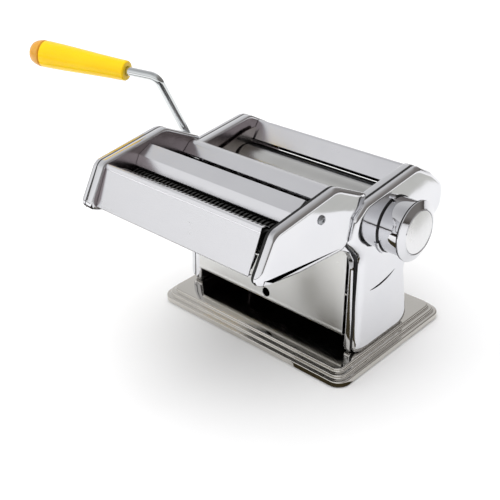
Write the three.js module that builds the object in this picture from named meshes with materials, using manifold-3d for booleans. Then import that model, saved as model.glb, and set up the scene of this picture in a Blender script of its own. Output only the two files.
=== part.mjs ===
// A hand-cranked pasta machine: a chromed sheet-steel body with two smooth rollers whose gap is
// set by a knob, and a lift-off cutter unit with a thin and a wide pair of grooved rollers.
// Millimetres. X runs along the rollers, the knob is at +X and the crank at -X; the cutter unit
// is at the front, towards -Y; Z is up. The origin is on the table under the centre of the base.
import * as THREE from 'three';
import { mergeVertices } from 'three/addons/utils/BufferGeometryUtils.js';
import Module from 'manifold-3d';

const wasm = await Module();
wasm.setup();

// ---- driving dimensions ----
const pastaWidth = 150;        // widest sheet that the rollers take
const guardGap = 0.6;          // between the sheet's edge and the guard plate
const sheet = 1.2;             // thickness of the body's sheet steel
const thinSheet = 1;           // thickness of the guide plates and roofs
const air = 0.3;               // gap kept between pieces that touch
const runGap = 0.35;           // radial gap round a turning journal

const innerFace = pastaWidth / 2 + 4;   // |X| of the side trays' inner faces
const trayDepth = 6.8;         // how far the inner trays stand out from that face
const coverDepth = 6.4;        // how far the outer covers stand out from the seam
const coverRound = 4.6;        // rounding of the covers' edges

const outerFace = innerFace + trayDepth + air + coverDepth;

const baseLength = 2 * (outerFace + 7.5);
const baseWidth = 136;
const baseCorner = 11;
const baseSteps = [[0, 5.6], [3.4, 8.8], [7, 12]];   // inset of each step, and its top
const matThickness = 1.4;
const boardThickness = 4;

const rollerRadius = 13.4;
const rollerOverlap = 1.6;     // how far a roller runs past the sheet's edge
const gapOpen = 2.4;           // roller gap at the widest setting
const gapTravel = 2;           // how much the knob closes it
const rollerHeight = 111;
const driveY = -9.6;
const gapAxisY = driveY + 2 * rollerRadius + gapOpen;
const journalRadius = 5;
const socketRadius = 7;        // outside of the crank's socket on the drive roller
const hexRadius = 3.7;         // crank's hexagonal end, to its corners
const bushWall = 2;

const mainTeeth = 14;
const mainGearTip = rollerRadius + gapOpen / 2 + 1.1;
const mainGearRoot = rollerRadius + gapOpen / 2 - 3.5;
const mainGearWidth = 4.4;

const clampRadius = 4;         // hole for the table clamp
const clampHeight = 34;

const knobY = 3.5;
const knobZ = rollerHeight - 0.5;
const knobRadius = 23.5;
const knobRingRadius = 21.5;
const knobRingLength = 5;
const knobLength = 16.7;
const knobFlange = 4;          // thickness of the knob's wide front rim
const knobSweep = 280;         // degrees from the widest to the narrowest setting
const camRadius = 8.7;
const shaftRadius = 4.2;       // of the knob's shaft

const cutterPitch = 18;        // between the axes of a cutter pair
const cutterTip = cutterPitch / 2 + 0.6;
const cutterGroove = cutterPitch / 2 - 1.1;
const cutterJournal = 4;
const cutterTeeth = 14;
const cutterGearTip = cutterPitch / 2 + 1.2;
const cutterGearRoot = cutterPitch / 2 - 1.8;
const cutterGearWidth = 4;
const thinNoodle = 2;
const wideNoodle = 6.5;

const crankRod = 3.5;          // radius of the rod
const crankArm = 92.4;         // from the roller's axis to the bend
const crankRest = 23.2;        // degrees that the arm leans forward at rest
const gripLength = 90;
const gripRadius = 11;
const gripNeck = 8.2;
const capLength = 11;

// ---- outlines in the side view: y, z and corner radius, anticlockwise seen from +X ----
const headOutline = [
  [-31, 140, 7], [-42.6, 134, 3], [-50.6, 111.4, 1.2], [-50.6, 108.2, 1.2], [-33.4, 101.6, 25],
  [-39.4, 12.5, 3], [28.6, 12.5, 3], [21, 67.5, 12], [60, 93.8, 6], [69, 101, 5], [69, 119.5, 8],
  [52, 134.5, 9], [32, 146.4, 12],
];
const domeOutline = [
  [-31, 140, 9], [-42, 132, 8], [-47.5, 113, 7], [-33.4, 96, 18],
  [-39.4, 12.5, 6], [28.6, 12.5, 6], [21, 67.5, 12], [60, 93.8, 10], [69, 101, 9], [69, 119.5, 9],
  [52, 134.5, 10], [32, 146.4, 14],
];
const cutterOutline = [
  [-144.8, 125.8, 5.5], [-136.6, 121, 8], [-102, 115.3, 20], [-62, 112.8, 20], [-52, 112.8, 6],
  [-44.2, 134, 3], [-24.5, 144.7, 3], [-63.6, 165, 14], [-126, 156.6, 9],
];

// ---- solids ----
function toSolid(geometry) {
  const bare = geometry.clone();
  bare.deleteAttribute('normal');
  bare.deleteAttribute('uv');
  const merged = mergeVertices(bare, 1e-3);
  const index = merged.index.array;
  const kept = [];
  for (let i = 0; i < index.length; i += 3) {
    const [a, b, c] = [index[i], index[i + 1], index[i + 2]];
    if (a !== b && b !== c && a !== c) kept.push(a, b, c);
  }
  return new wasm.Manifold(new wasm.Mesh({
    numProp: 3,
    vertProperties: new Float32Array(merged.attributes.position.array),
    triVerts: new Uint32Array(kept),
  }));
}

function toGeometry(solid) {
  const mesh = solid.getMesh();
  const geometry = new THREE.BufferGeometry();
  geometry.setAttribute('position', new THREE.BufferAttribute(new Float32Array(mesh.vertProperties), 3));
  geometry.setIndex(new THREE.BufferAttribute(new Uint32Array(mesh.triVerts), 1));
  return geometry;
}

function join(...pieces) {
  return toGeometry(pieces.map(toSolid).reduce((whole, piece) => whole.add(piece)));
}

function cut(body, ...tools) {
  return toGeometry(tools.map(toSolid).reduce((rest, tool) => rest.subtract(tool), toSolid(body)));
}

function box(x0, x1, y0, y1, z0, z1) {
  const geometry = new THREE.BoxGeometry(x1 - x0, y1 - y0, z1 - z0);
  return geometry.translate((x0 + x1) / 2, (y0 + y1) / 2, (z0 + z1) / 2);
}

// A rod along X between x0 and x1.
function rodX(radius, x0, x1, y = 0, z = 0, sides = 20) {
  const geometry = new THREE.CylinderGeometry(radius, radius, x1 - x0, sides);
  return geometry.rotateZ(-Math.PI / 2).translate((x0 + x1) / 2, y, z);
}

// A turned piece about X; the profile is a list of x and radius, from low x to high x.
function turned(profile, sides = 24) {
  const points = profile.map(([x, radius]) => new THREE.Vector2(radius, x));
  return new THREE.LatheGeometry(points, sides).rotateZ(-Math.PI / 2);
}

// A turned ring about X, with a bore.
function ring(bore, outer, x0, x1, sides = 24) {
  return turned([[x0, bore], [x0, outer], [x1, outer], [x1, bore], [x0, bore]], sides);
}

// An outline with every edge moved outwards by grow and every corner rounded.
function rounded(corners, grow = 0, degreesPerStep = 30) {
  const count = corners.length;
  const at = (i) => corners[(i + count) % count];
  const edges = corners.map((corner, i) => {
    const along = new THREE.Vector2(at(i + 1)[0] - corner[0], at(i + 1)[1] - corner[1]).normalize();
    const out = new THREE.Vector2(along.y, -along.x);
    return { along, start: new THREE.Vector2(corner[0], corner[1]).addScaledVector(out, grow) };
  });
  const points = [];
  corners.forEach((corner, i) => {
    const before = edges[(i - 1 + count) % count];
    const after = edges[i];
    const turn = before.along.cross(after.along);
    const reach = after.start.clone().sub(before.start).cross(after.along) / turn;
    const tip = before.start.clone().addScaledVector(before.along, reach);
    const angle = Math.atan2(turn, before.along.dot(after.along));
    const radius = Math.max(corner[2] + Math.sign(angle) * grow, 0.4);
    const tangent = radius * Math.tan(Math.abs(angle) / 2);
    const steps = Math.max(1, Math.round(Math.abs(angle) * 180 / Math.PI / degreesPerStep));
    const first = tip.clone().addScaledVector(before.along, -tangent);
    const side = new THREE.Vector2(-before.along.y, before.along.x).multiplyScalar(Math.sign(angle));
    const centre = first.clone().addScaledVector(side, radius);
    for (let k = 0; k <= steps; k += 1) {
      points.push(first.clone().rotateAround(centre, angle * k / steps));
    }
  });
  return new THREE.Shape(points);
}

// Turns a flat outline in y and z into a plate between x0 and x1.
const sideways = new THREE.Matrix4().makeBasis(
  new THREE.Vector3(0, 1, 0), new THREE.Vector3(0, 0, 1), new THREE.Vector3(1, 0, 0));

function plate(shape, x0, x1) {
  const geometry = new THREE.ExtrudeGeometry(shape, { depth: x1 - x0, bevelEnabled: false });
  return geometry.applyMatrix4(sideways).translate(x0, 0, 0);
}

// A plate whose two faces are rounded into its edge; the outline given is the flat face's.
function pillow(shape, x0, x1, round) {
  const geometry = new THREE.ExtrudeGeometry(shape, {
    depth: x1 - x0 - 2 * round, bevelThickness: round, bevelSize: round, bevelSegments: 2,
  });
  return geometry.applyMatrix4(sideways).translate(x0 + round, 0, 0);
}

// Sheet metal bent along the points given, seen in the side view, with its thickness added on
// the left of the direction of travel.
function bentSheet(points, thickness, halfLength) {
  const path = points.map(([y, z]) => new THREE.Vector2(y, z));
  const back = path.map((point, i) => {
    const into = path[Math.max(i, 1)].clone().sub(path[Math.max(i, 1) - 1]).normalize();
    const last = Math.min(i + 1, path.length - 1);
    const away = path[last].clone().sub(path[last - 1]).normalize();
    const left = new THREE.Vector2(-into.y - away.y, into.x + away.x).normalize();
    const stretch = thickness / left.dot(new THREE.Vector2(-into.y, into.x));
    return point.clone().addScaledVector(left, stretch);
  });
  return plate(new THREE.Shape([...path, ...back.reverse()]), -halfLength, halfLength);
}

// A gear about X with straight-flanked teeth; phase turns it by a share of one tooth.
function gear(teeth, tip, root, bore, x0, x1, phase) {
  const step = 2 * Math.PI / teeth;
  const rootShare = 0.27;
  const tipShare = 0.075;
  const points = [];
  const polar = (radius, angle) => points.push(
    new THREE.Vector2(radius * Math.cos(angle), radius * Math.sin(angle)));
  for (let i = 0; i < teeth; i += 1) {
    const middle = (i + phase) * step;
    polar(root, middle - rootShare * step);
    polar(tip, middle - tipShare * step);
    polar(tip, middle + tipShare * step);
    polar(root, middle + rootShare * step);
  }
  const shape = new THREE.Shape(points);
  shape.holes.push(new THREE.Path().absarc(0, 0, bore, 0, 2 * Math.PI, true));
  return new THREE.ExtrudeGeometry(shape, { depth: x1 - x0, curveSegments: 8, bevelEnabled: false })
    .applyMatrix4(sideways).translate(x0, 0, 0);
}

const mirrorX = new THREE.Matrix4().makeScale(-1, 1, 1);

// The same piece on the other side, with its faces turned back outwards.
function mirrored(geometry) {
  const copy = mergeVertices(geometry.clone().deleteAttribute('normal').deleteAttribute('uv'), 1e-3);
  const flipped = copy.applyMatrix4(mirrorX);
  const index = flipped.index;
  for (let i = 0; i < index.count; i += 3) {
    const [b, c] = [index.getX(i + 1), index.getX(i + 2)];
    index.setX(i + 1, c);
    index.setX(i + 2, b);
  }
  return flipped;
}

// ---- finishes and nodes ----
const finish = (color, roughness, metalness) => () => (
  new THREE.MeshStandardMaterial({ color, roughness, metalness }));
const chrome = finish(0xd6d8da, 0.12, 1);
const steel = finish(0xb9bcc0, 0.3, 1);
const rollerSteel = finish(0xc8c8c4, 0.22, 1);
const nylon = finish(0xe8e6dc, 0.5, 0);
const rubber = finish(0x2b2b2b, 0.9, 0);
const fibreboard = finish(0x7a5c3c, 0.8, 0);
const yellowPlastic = finish(0xf7c81e, 0.3, 0);
const amberPlastic = finish(0xb5741c, 0.4, 0);

function node(parent, name, geometry, material, position = [0, 0, 0]) {
  const mesh = new THREE.Mesh(geometry, material());
  mesh.name = name;
  mesh.position.set(...position);
  parent.add(mesh);
  return mesh;
}

function groupAt(parent, x, y, z) {
  const group = new THREE.Group();
  group.position.set(x, y, z);
  parent.add(group);
  return group;
}

const machine = new THREE.Group();

// ---- base ----
function baseSlab(inset, z0, z1) {
  const x = baseLength / 2 - inset;
  const y = baseWidth / 2 - inset;
  const shape = rounded([[-x, -y, 1], [x, -y, 1], [x, y, 1], [-x, y, 1]].map(
    ([a, b]) => [a, b, Math.max(baseCorner - inset * 0.6, 2)]), 0, 23);
  return new THREE.ExtrudeGeometry(shape, { depth: z1 - z0, bevelEnabled: false }).translate(0, 0, z0);
}

const baseBottom = 1;
const baseTop = baseSteps[2][1];
const boardTop = matThickness + air + boardThickness;
const basePlate = cut(
  join(...baseSteps.map(([inset, top]) => baseSlab(inset, baseBottom, top))),
  baseSlab(sheet, 0, baseSteps[0][1] - sheet),
  baseSlab(baseSteps[1][0] + sheet, 0, baseSteps[1][1] - sheet),
  baseSlab(baseSteps[2][0] + sheet, 0, baseTop - sheet),
);
node(machine, 'base_plate', basePlate, chrome);
const fillInset = baseSteps[1][0] + sheet + air;
node(machine, 'base_board', baseSlab(fillInset, matThickness + air, boardTop), fibreboard);
node(machine, 'anti_slip_mat', baseSlab(fillInset, 0, matThickness), rubber);

// ---- side trays and covers of the body ----
const driveAxis = [driveY, rollerHeight];
const tieRadius = 3;
const tiePlaces = {
  front: [-24, 124], rear: [56, 122], lower: [19, 24],
};
const yokeBarY = gapAxisY + 26;
const yokeBarRadius = 3;
const yokeGap = 0.6;
const slotReach = journalRadius + runGap;
const bushRadius = journalRadius + runGap + bushWall;

// A slot along Y round a moving rod.
function slotX(radius, y0, y1, z, x0, x1) {
  return join(
    rodX(radius, x0, x1, y0, z, 16), rodX(radius, x0, x1, y1, z, 16),
    box(x0, x1, y0, y1, z - radius * 0.99, z + radius * 0.99),
  );
}

const trayCuts = (left) => {
  const [x0, x1] = [innerFace - 1, innerFace + 3];
  const socketHole = (left ? socketRadius : journalRadius) + runGap + bushWall + air;
  return [
    rodX(socketHole, x0, x1, ...driveAxis, 24),
    slotX(slotReach, gapAxisY - gapTravel, gapAxisY, rollerHeight, x0, x1),
    slotX(yokeBarRadius + yokeGap, yokeBarY - gapTravel, yokeBarY, rollerHeight, x0, x1),
    ...Object.values(tiePlaces).map(([y, z]) => rodX(tieRadius + air, x0, x1, y, z, 16)),
  ];
};

function frameTray(left) {
  const seam = innerFace + trayDepth;
  const body = plate(rounded(headOutline), innerFace, seam);
  const hollow = plate(rounded(domeOutline, -sheet), innerFace + sheet, seam + 1);
  return cut(body, hollow, ...trayCuts(left));
}

node(machine, 'left_frame_tray', mirrored(frameTray(true)), chrome);
node(machine, 'right_frame_tray', frameTray(false), chrome);

const coverSeam = innerFace + trayDepth + air;

function domedCover(outline, reach, ...cuts) {
  const outer = pillow(rounded(outline, -coverRound), coverSeam - reach, outerFace, coverRound);
  const inner = pillow(rounded(outline, -coverRound - sheet), coverSeam - reach - sheet,
    outerFace - sheet, coverRound);
  const trim = box(0, coverSeam, -200, 200, 0, 250);
  return cut(outer, inner, trim, ...cuts);
}

const hiddenHalf = 12;
const knobHole = rodX(shaftRadius + runGap, outerFace - 3, outerFace + 1, knobY, knobZ, 16);
const crankHole = rodX(9.5, outerFace - 3, outerFace + 1, ...driveAxis, 20);
node(machine, 'left_side_cover', mirrored(domedCover(domeOutline, hiddenHalf, crankHole)), chrome);
node(machine, 'right_side_cover', domedCover(domeOutline, hiddenHalf, knobHole), chrome);

// ---- sheets between the sides ----
const between = innerFace - air;
const chutePath = [[-37, 26.4], [-39.6, 28], [-39, 31], [-34, 96], [-33.4, 104], [-36.6, 110]];
const clampHole = rodX(clampRadius, -60, 60, 0, 0, 16).rotateZ(Math.PI / 2).translate(0, 0, clampHeight);
node(machine, 'front_chute_panel', cut(bentSheet(chutePath, thinSheet, between), clampHole), chrome);
node(machine, 'front_cover', bentSheet([
  [-20.6, 132.4], [-29.4, 135.6], [-33, 132], [-39, 118], [-38.2, 112.2],
], thinSheet, between), chrome);

// The rear cover's lower edge stays clear of the adjustable roller below it.
const coverReach = rollerRadius + 5.42;
const coverLip = [gapAxisY + 0.611 * coverReach, rollerHeight + 0.792 * coverReach];
node(machine, 'rear_cover', bentSheet([
  [67.2, 103], [67.2, 117], [66.4, 119], [50.6, 133.2], [42.4, 139.4], [40.6, 138.6], coverLip,
], thinSheet, between), chrome);
node(machine, 'rear_panel', bentSheet([
  [26.6, 13], [19.4, 67], [21.8, 70], [59, 95.2], [67.2, 101],
], thinSheet, between), chrome);

// ---- T-shaped rails that the cutter unit hangs on ----
const railX = innerFace - 7;
const railHead = { half: 3, y0: -44.4, y1: -42.4 };
const railNeck = { half: 1.2, y1: -39.6 };
const railTop = 129;

function rail() {
  const post = (half, y0, y1) => box(railX - half, railX + half, y0, y1, 113.5, railTop);
  return join(
    post(railHead.half, railHead.y0, railHead.y1),
    post(railNeck.half, railHead.y1 - 0.5, railNeck.y1),
  );
}

node(machine, 'left_cutter_rail', mirrored(rail()), steel);
node(machine, 'right_cutter_rail', rail(), steel);

// ---- dough guards above the roller ends, scrapers below ----
const guardInner = pastaWidth / 2 + guardGap;
const guardOuter = guardInner + thinSheet;
const guardClear = rollerRadius + 0.5;

function endGuard() {
  const shape = rounded([
    [-17.5, 123.5, 1], [-2, 113, 1], [12, 113, 1], [29, 118, 2], [29.2, 125.5, 2], [36.6, 136.2, 2],
    [22, 135.6, 8], [-9, 129, 10],
  ], 0, 40);
  const post = (y, z) => rodX(1.8, guardInner + 0.2, between, y, z, 10);
  const shoulders = [driveY, gapAxisY, gapAxisY - gapTravel].map(
    (y) => rodX(guardClear, guardInner - 1, between + 1, y, rollerHeight, 30));
  return cut(join(plate(shape, guardInner, guardOuter), post(5, 128), post(27.5, 130.5)), ...shoulders);
}

node(machine, 'left_end_guard', mirrored(endGuard()), steel);
node(machine, 'right_end_guard', endGuard(), steel);

function scraper(y, z, towardsY, towardsZ) {
  const reach = new THREE.Vector2(towardsY - y, towardsZ - z);
  const away = reach.length() - rollerRadius - 0.4;
  reach.normalize();
  const [bladeY, bladeZ] = [y + reach.x * away, z + reach.y * away];
  return bentSheet([[y, z - 5], [y, z], [bladeY, bladeZ]], thinSheet, between);
}

const scraperZ = rollerHeight - 13;
node(machine, 'front_scraper',
  scraper(driveY - rollerRadius - 4.2, scraperZ, driveY, rollerHeight), steel);
node(machine, 'rear_scraper',
  scraper(gapAxisY + rollerRadius + 3.8, scraperZ, gapAxisY, rollerHeight), steel);

const tieEnd = innerFace + 5;
for (const [place, [y, z]] of Object.entries(tiePlaces)) {
  node(machine, `tie_rod_${place}`, rodX(tieRadius, -tieEnd, tieEnd, 0, 0, 10), steel, [0, y, z]);
}

// ---- drive roller, its gear and bushes ----
const rollerHalf = pastaWidth / 2 + rollerOverlap;
const gearStart = innerFace + 5.4;
const gearEnd = gearStart + mainGearWidth;
const socketEnd = gearEnd + 0.6;
const socketDepth = 14;

const drive = groupAt(machine, 0, driveY, rollerHeight);
const driveBody = turned([
  [-socketEnd, 0], [-socketEnd, socketRadius], [-rollerHalf, socketRadius],
  [-rollerHalf, rollerRadius], [rollerHalf, rollerRadius], [rollerHalf, journalRadius],
  [innerFace + sheet, journalRadius], [innerFace + sheet, 0],
], 28);
const restTurn = crankRest * Math.PI / 180;
const hexHole = rodX(hexRadius + 0.45, -socketEnd - 1, -socketEnd + socketDepth, 0, 0, 6)
  .rotateX(restTurn);
node(drive, 'drive_roller', cut(driveBody, hexHole), rollerSteel);
node(drive, 'drive_gear', gear(mainTeeth, mainGearTip, mainGearRoot, socketRadius + air,
  -gearEnd, -gearStart, 0), steel);

function bush(shaft, side) {
  const bore = shaft + runGap;
  const outer = bore + bushWall;
  const flange = outer + 1.6;
  const [flangeStart, flangeEnd] = [innerFace - air - 1.1, innerFace - air];
  const profile = [
    [flangeStart, bore], [flangeStart, flange], [flangeEnd, flange], [flangeEnd, outer],
    [innerFace + sheet, outer], [innerFace + sheet, bore], [flangeStart, bore],
  ];
  return side === 'left' ? mirrored(turned(profile, 20)) : turned(profile, 20);
}

node(drive, 'left_drive_bush', bush(socketRadius, 'left'), nylon);
node(drive, 'right_drive_bush', bush(journalRadius, 'right'), nylon);

// ---- adjustable roller on its yoke ----
const yokeStart = innerFace + sheet + 0.5;
const yokeEnd = yokeStart + 2.6;
const followerY = knobY + camRadius + air;

function yokeArm() {
  const shape = rounded([
    [followerY, rollerHeight + 7.5, 1.5], [followerY, rollerHeight - 7.5, 1.5],
    [gapAxisY + 6, rollerHeight - 8.2, 5], [yokeBarY + 5, rollerHeight - 5, 3],
    [yokeBarY + 5, rollerHeight + 5, 3], [gapAxisY + 6, rollerHeight + 8.2, 5],
  ], 0, 40);
  return cut(
    plate(shape, yokeStart, yokeEnd),
    rodX(journalRadius + runGap, yokeStart - 1, yokeEnd + 1, gapAxisY, rollerHeight, 24),
    rodX(yokeBarRadius + air, yokeStart - 1, yokeEnd + 1, yokeBarY, rollerHeight, 14),
  );
}

node(machine, 'left_yoke_arm', mirrored(yokeArm()), steel);
node(machine, 'right_yoke_arm', yokeArm(), steel);
node(machine, 'yoke_bar', rodX(yokeBarRadius, -yokeEnd, yokeEnd, 0, 0, 12), steel,
  [0, yokeBarY, rollerHeight]);

const adjustable = groupAt(machine, 0, gapAxisY, rollerHeight);
node(adjustable, 'adjustable_roller', turned([
  [-socketEnd, 0], [-socketEnd, journalRadius], [-rollerHalf, journalRadius],
  [-rollerHalf, rollerRadius], [rollerHalf, rollerRadius], [rollerHalf, journalRadius],
  [yokeEnd + 0.8, journalRadius], [yokeEnd + 0.8, 0],
], 28), rollerSteel);
node(adjustable, 'driven_gear', gear(mainTeeth, mainGearTip, mainGearRoot, journalRadius + air,
  -gearEnd, -gearStart, 0.5), steel);

// ---- knob and the cam that it turns ----
const knobSeat = outerFace + air;
const ringEnd = knobSeat + knobRingLength;
const knobBack = ringEnd + 0.5;
const knobFront = knobBack + knobLength;
const stopCircle = 15.5;
const springBore = 5.6;
const springWire = 0.5;
const webThickness = 2;
const headRadius = 8;
const headThickness = 2;
const faceRecess = 0.6;
const faceThickness = 1.6;
const faceRadius = knobRadius - 6.6;
const faceBack = knobFront - faceRecess - faceThickness;
const headStart = faceBack - 0.5 - headThickness;

const adjuster = groupAt(machine, 0, knobY, knobZ);

// The cam's radius falls evenly with the angle, so the gap follows the knob evenly.
function camShape() {
  const points = [];
  const steps = 24;
  for (let k = 0; k <= steps; k += 1) {
    const turn = -(knobSweep + 20) * k / steps;
    const radius = camRadius - gapTravel * Math.min(-turn / knobSweep, 1.05);
    const angle = (turn + 8) * Math.PI / 180;
    points.push(new THREE.Vector2(radius * Math.cos(angle), radius * Math.sin(angle)));
  }
  return new THREE.Shape(points.reverse());
}

node(adjuster, 'adjuster_cam_shaft', join(
  plate(camShape(), yokeStart, yokeEnd),
  rodX(shaftRadius, yokeEnd - 1, headStart + 1, 0, 0, 14),
  rodX(headRadius, headStart, headStart + headThickness, 0, 0, 20),
), steel);

// The ring's round groove holds the stop pin at every setting.
node(adjuster, 'knob_ring', turned([
  [knobSeat, shaftRadius + runGap], [knobSeat, knobRingRadius], [ringEnd - 0.6, knobRingRadius],
  [ringEnd, knobRingRadius - 0.6], [ringEnd, stopCircle + 1.8], [ringEnd - 3, stopCircle + 1.8],
  [ringEnd - 3, stopCircle - 1.8], [ringEnd, stopCircle - 1.8], [ringEnd, shaftRadius + runGap],
  [knobSeat, shaftRadius + runGap],
], 32), chrome);

node(adjuster, 'knob', turned([
  [knobBack, shaftRadius + runGap], [knobBack, knobRingRadius - 0.6],
  [knobBack + 0.6, knobRingRadius], [knobFront - knobFlange, knobRingRadius],
  [knobFront - knobFlange, knobRadius], [knobFront - 2.2, knobRadius], [knobFront, faceRadius + 0.6],
  [knobFront - faceRecess, faceRadius], [faceBack, faceRadius], [faceBack, faceRadius - 1.2],
  [knobBack + webThickness, faceRadius - 1.2], [knobBack + webThickness, shaftRadius + runGap],
  [knobBack, shaftRadius + runGap],
], 32), chrome);
node(adjuster, 'knob_face', rodX(faceRadius - air, faceBack + air, knobFront - faceRecess, 0, 0, 28), chrome);
node(adjuster, 'stop_pin', rodX(1.2, ringEnd - 2.4, knobBack - air, 0, stopCircle, 8), steel);

class Coil extends THREE.Curve {
  getPoint(t) {
    const turns = 2;
    const angle = 2 * Math.PI * turns * t;
    const radius = springBore + springWire;
    const [x0, x1] = [knobBack + webThickness + air + springWire, headStart - air - springWire];
    return new THREE.Vector3(x0 + (x1 - x0) * t, radius * Math.cos(angle), radius * Math.sin(angle));
  }
}

function circleShape(radius, sides) {
  const points = Array.from({ length: sides }, (_, i) => new THREE.Vector2(
    radius * Math.cos(2 * Math.PI * i / sides), radius * Math.sin(2 * Math.PI * i / sides)));
  return new THREE.Shape(points);
}

node(adjuster, 'knob_spring', new THREE.ExtrudeGeometry(circleShape(springWire, 5), {
  steps: 22, extrudePath: new Coil(), bevelEnabled: false,
}), steel);

// ---- crank ----
const crank = groupAt(machine, 0, driveY, rollerHeight);
crank.rotation.x = restTurn;
const hexEnd = socketEnd - socketDepth + 0.6;
const armFoot = new THREE.Vector3(-outerFace - 6.5, 0, 0);
const armTop = new THREE.Vector3(-outerFace - 12.5, 0, crankArm);
const gripLine = new THREE.Vector3(-112.7, -32.2, 25.6).normalize();
const gripSetOff = 27;
const gripStart = armTop.clone().addScaledVector(gripLine, gripSetOff);
const gripStop = gripStart.clone().addScaledVector(gripLine, gripLength);

// The rod's centre line, with a short arc in place of each corner.
function bentPath(corners, bend) {
  const path = new THREE.CurvePath();
  let from = corners[0];
  for (let i = 1; i < corners.length - 1; i += 1) {
    const into = corners[i].clone().sub(corners[i - 1]).normalize();
    const away = corners[i + 1].clone().sub(corners[i]).normalize();
    const start = corners[i].clone().addScaledVector(into, -bend);
    const stop = corners[i].clone().addScaledVector(away, bend);
    path.add(new THREE.LineCurve3(from, start));
    path.add(new THREE.QuadraticBezierCurve3(start, corners[i], stop));
    from = stop;
  }
  path.add(new THREE.LineCurve3(from, corners[corners.length - 1]));
  return path;
}

// Even steps round the bends and none wasted on the straights.
class Sampled extends THREE.Curve {
  constructor(path, arcSteps) {
    super();
    this.points = [];
    for (const piece of path.curves) {
      const steps = piece instanceof THREE.LineCurve3 ? 1 : arcSteps;
      for (let k = 0; k < steps; k += 1) this.points.push(piece.getPoint(k / steps));
    }
    this.points.push(path.curves.at(-1).getPoint(1));
  }

  getPoint(t) {
    const place = t * (this.points.length - 1);
    const i = Math.min(Math.floor(place), this.points.length - 2);
    return this.points[i].clone().lerp(this.points[i + 1], place - i);
  }

  getPointAt(t) {
    return this.getPoint(t);
  }

  getTangentAt(t) {
    const last = this.points.length - 1;
    const i = Math.round(t * last);
    const [a, b] = [this.points[Math.max(i - 1, 0)], this.points[Math.min(i + 1, last)]];
    return b.clone().sub(a).normalize();
  }
}

const rodPath = new Sampled(bentPath(
  [new THREE.Vector3(-hexEnd - 8, 0, 0), armFoot, armTop, gripStop.clone().addScaledVector(gripLine, -4)],
  5), 4);
const rod = new THREE.ExtrudeGeometry(circleShape(crankRod, 12), {
  steps: rodPath.points.length - 1, extrudePath: rodPath, bevelEnabled: false,
});
node(crank, 'crank_rod', join(rod, rodX(hexRadius, -hexEnd - 9, -hexEnd, 0, 0, 6)), chrome);

const grip = groupAt(crank, ...gripStart.toArray());
grip.quaternion.setFromUnitVectors(new THREE.Vector3(1, 0, 0), gripLine);
const bodyLength = gripLength - capLength;
const gripBore = crankRod + runGap;
node(grip, 'crank_grip', turned([
  [0, gripBore], [0, gripNeck - 1], [1, gripNeck], [bodyLength * 0.4, gripNeck + 1.3],
  [bodyLength * 0.8, gripRadius - 0.4], [bodyLength - 1, gripRadius], [bodyLength, gripRadius - 0.6],
  [bodyLength, gripBore], [0, gripBore],
], 20), yellowPlastic);
node(grip, 'grip_end_cap', turned([
  [bodyLength + air, gripBore], [bodyLength + air, gripRadius - 0.5], [bodyLength + 1.4, gripRadius],
  [gripLength - 3.5, gripRadius - 0.4], [gripLength - 1, gripRadius - 2.2], [gripLength, gripRadius - 4.6],
  [gripLength, 0], [gripLength - 3, 0], [gripLength - 3, gripBore], [bodyLength + air, gripBore],
], 20), amberPlastic);

// ---- cutter unit ----
const cutter = groupAt(machine, 0, 0, 0);
const pairTilt = -23 * Math.PI / 180;
const drop = -cutterPitch * Math.sin(pairTilt);
const run = cutterPitch * Math.cos(pairTilt);
const thinFront = [-117.3, 141.5];
const thinRear = [thinFront[0] + run, thinFront[1] - drop];
const wideFront = [-78.8, 141];
const wideRear = [wideFront[0] + run, wideFront[1] - drop];
const cutterAxes = [thinFront, thinRear, wideFront, wideRear];
const socketAxes = [thinFront, wideFront];
const cutterSocket = 5.6;
const screwPlace = [-81, 148];
const screwRadius = 3.4;

function cutterTray() {
  const seam = innerFace + trayDepth;
  const body = plate(rounded(cutterOutline), innerFace, seam);
  const hollow = plate(rounded(cutterOutline, -sheet), innerFace + sheet, seam + 1);
  const holes = cutterAxes.map((axis) => rodX(
    cutterJournal + runGap, innerFace - 1, innerFace + 3, ...axis, 16));
  return cut(body, hollow, ...holes);
}

node(cutter, 'cutter_left_tray', mirrored(cutterTray()), chrome);
node(cutter, 'cutter_right_tray', cutterTray(), chrome);

const screwHole = rodX(2, outerFace - 3, outerFace + 1, ...screwPlace, 10);
const crankHoles = socketAxes.map((axis) => rodX(
  cutterSocket + 1, outerFace - 3, outerFace + 1, ...axis, 18));
node(cutter, 'cutter_left_cover',
  mirrored(domedCover(cutterOutline, hiddenHalf, screwHole, ...crankHoles)), chrome);
node(cutter, 'cutter_right_cover', domedCover(cutterOutline, hiddenHalf, screwHole), chrome);

function capScrew() {
  const head = outerFace + air;
  const turnedScrew = turned([
    [head - 5.4, 0], [head - 5.4, 1.6], [head, 1.6], [head, screwRadius], [head + 0.8, screwRadius],
    [head + 1.6, screwRadius - 1.2], [head + 1.6, 0],
  ], 14);
  const arm = (y, z) => box(head + 0.8, head + 2, -y, y, -z, z);
  return cut(turnedScrew, arm(2, 0.4), arm(0.4, 2));
}

node(cutter, 'left_cap_screw', mirrored(capScrew()), steel, [0, ...screwPlace]);
node(cutter, 'right_cap_screw', capScrew(), steel, [0, ...screwPlace]);

node(cutter, 'cutter_front_plate', bentSheet([
  [-134.6, 124.2], [-138.4, 125.6], [-123.4, 155.4], [-120.6, 154.6],
].reverse(), thinSheet, between), chrome);
node(cutter, 'cutter_mid_roof', bentSheet([
  [-92.5, 142], [-92.5, 152.6], [-80.5, 158.2], [-79.8, 156.4],
].reverse(), thinSheet, between), chrome);
node(cutter, 'cutter_rear_roof', bentSheet([
  [-48.3, 139.1], [-40.6, 145.6], [-37.4, 146.6], [-33.4, 145.7], [-29.6, 143.2], [-23.4, 138.8],
].reverse(), thinSheet, between), chrome);

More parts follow.
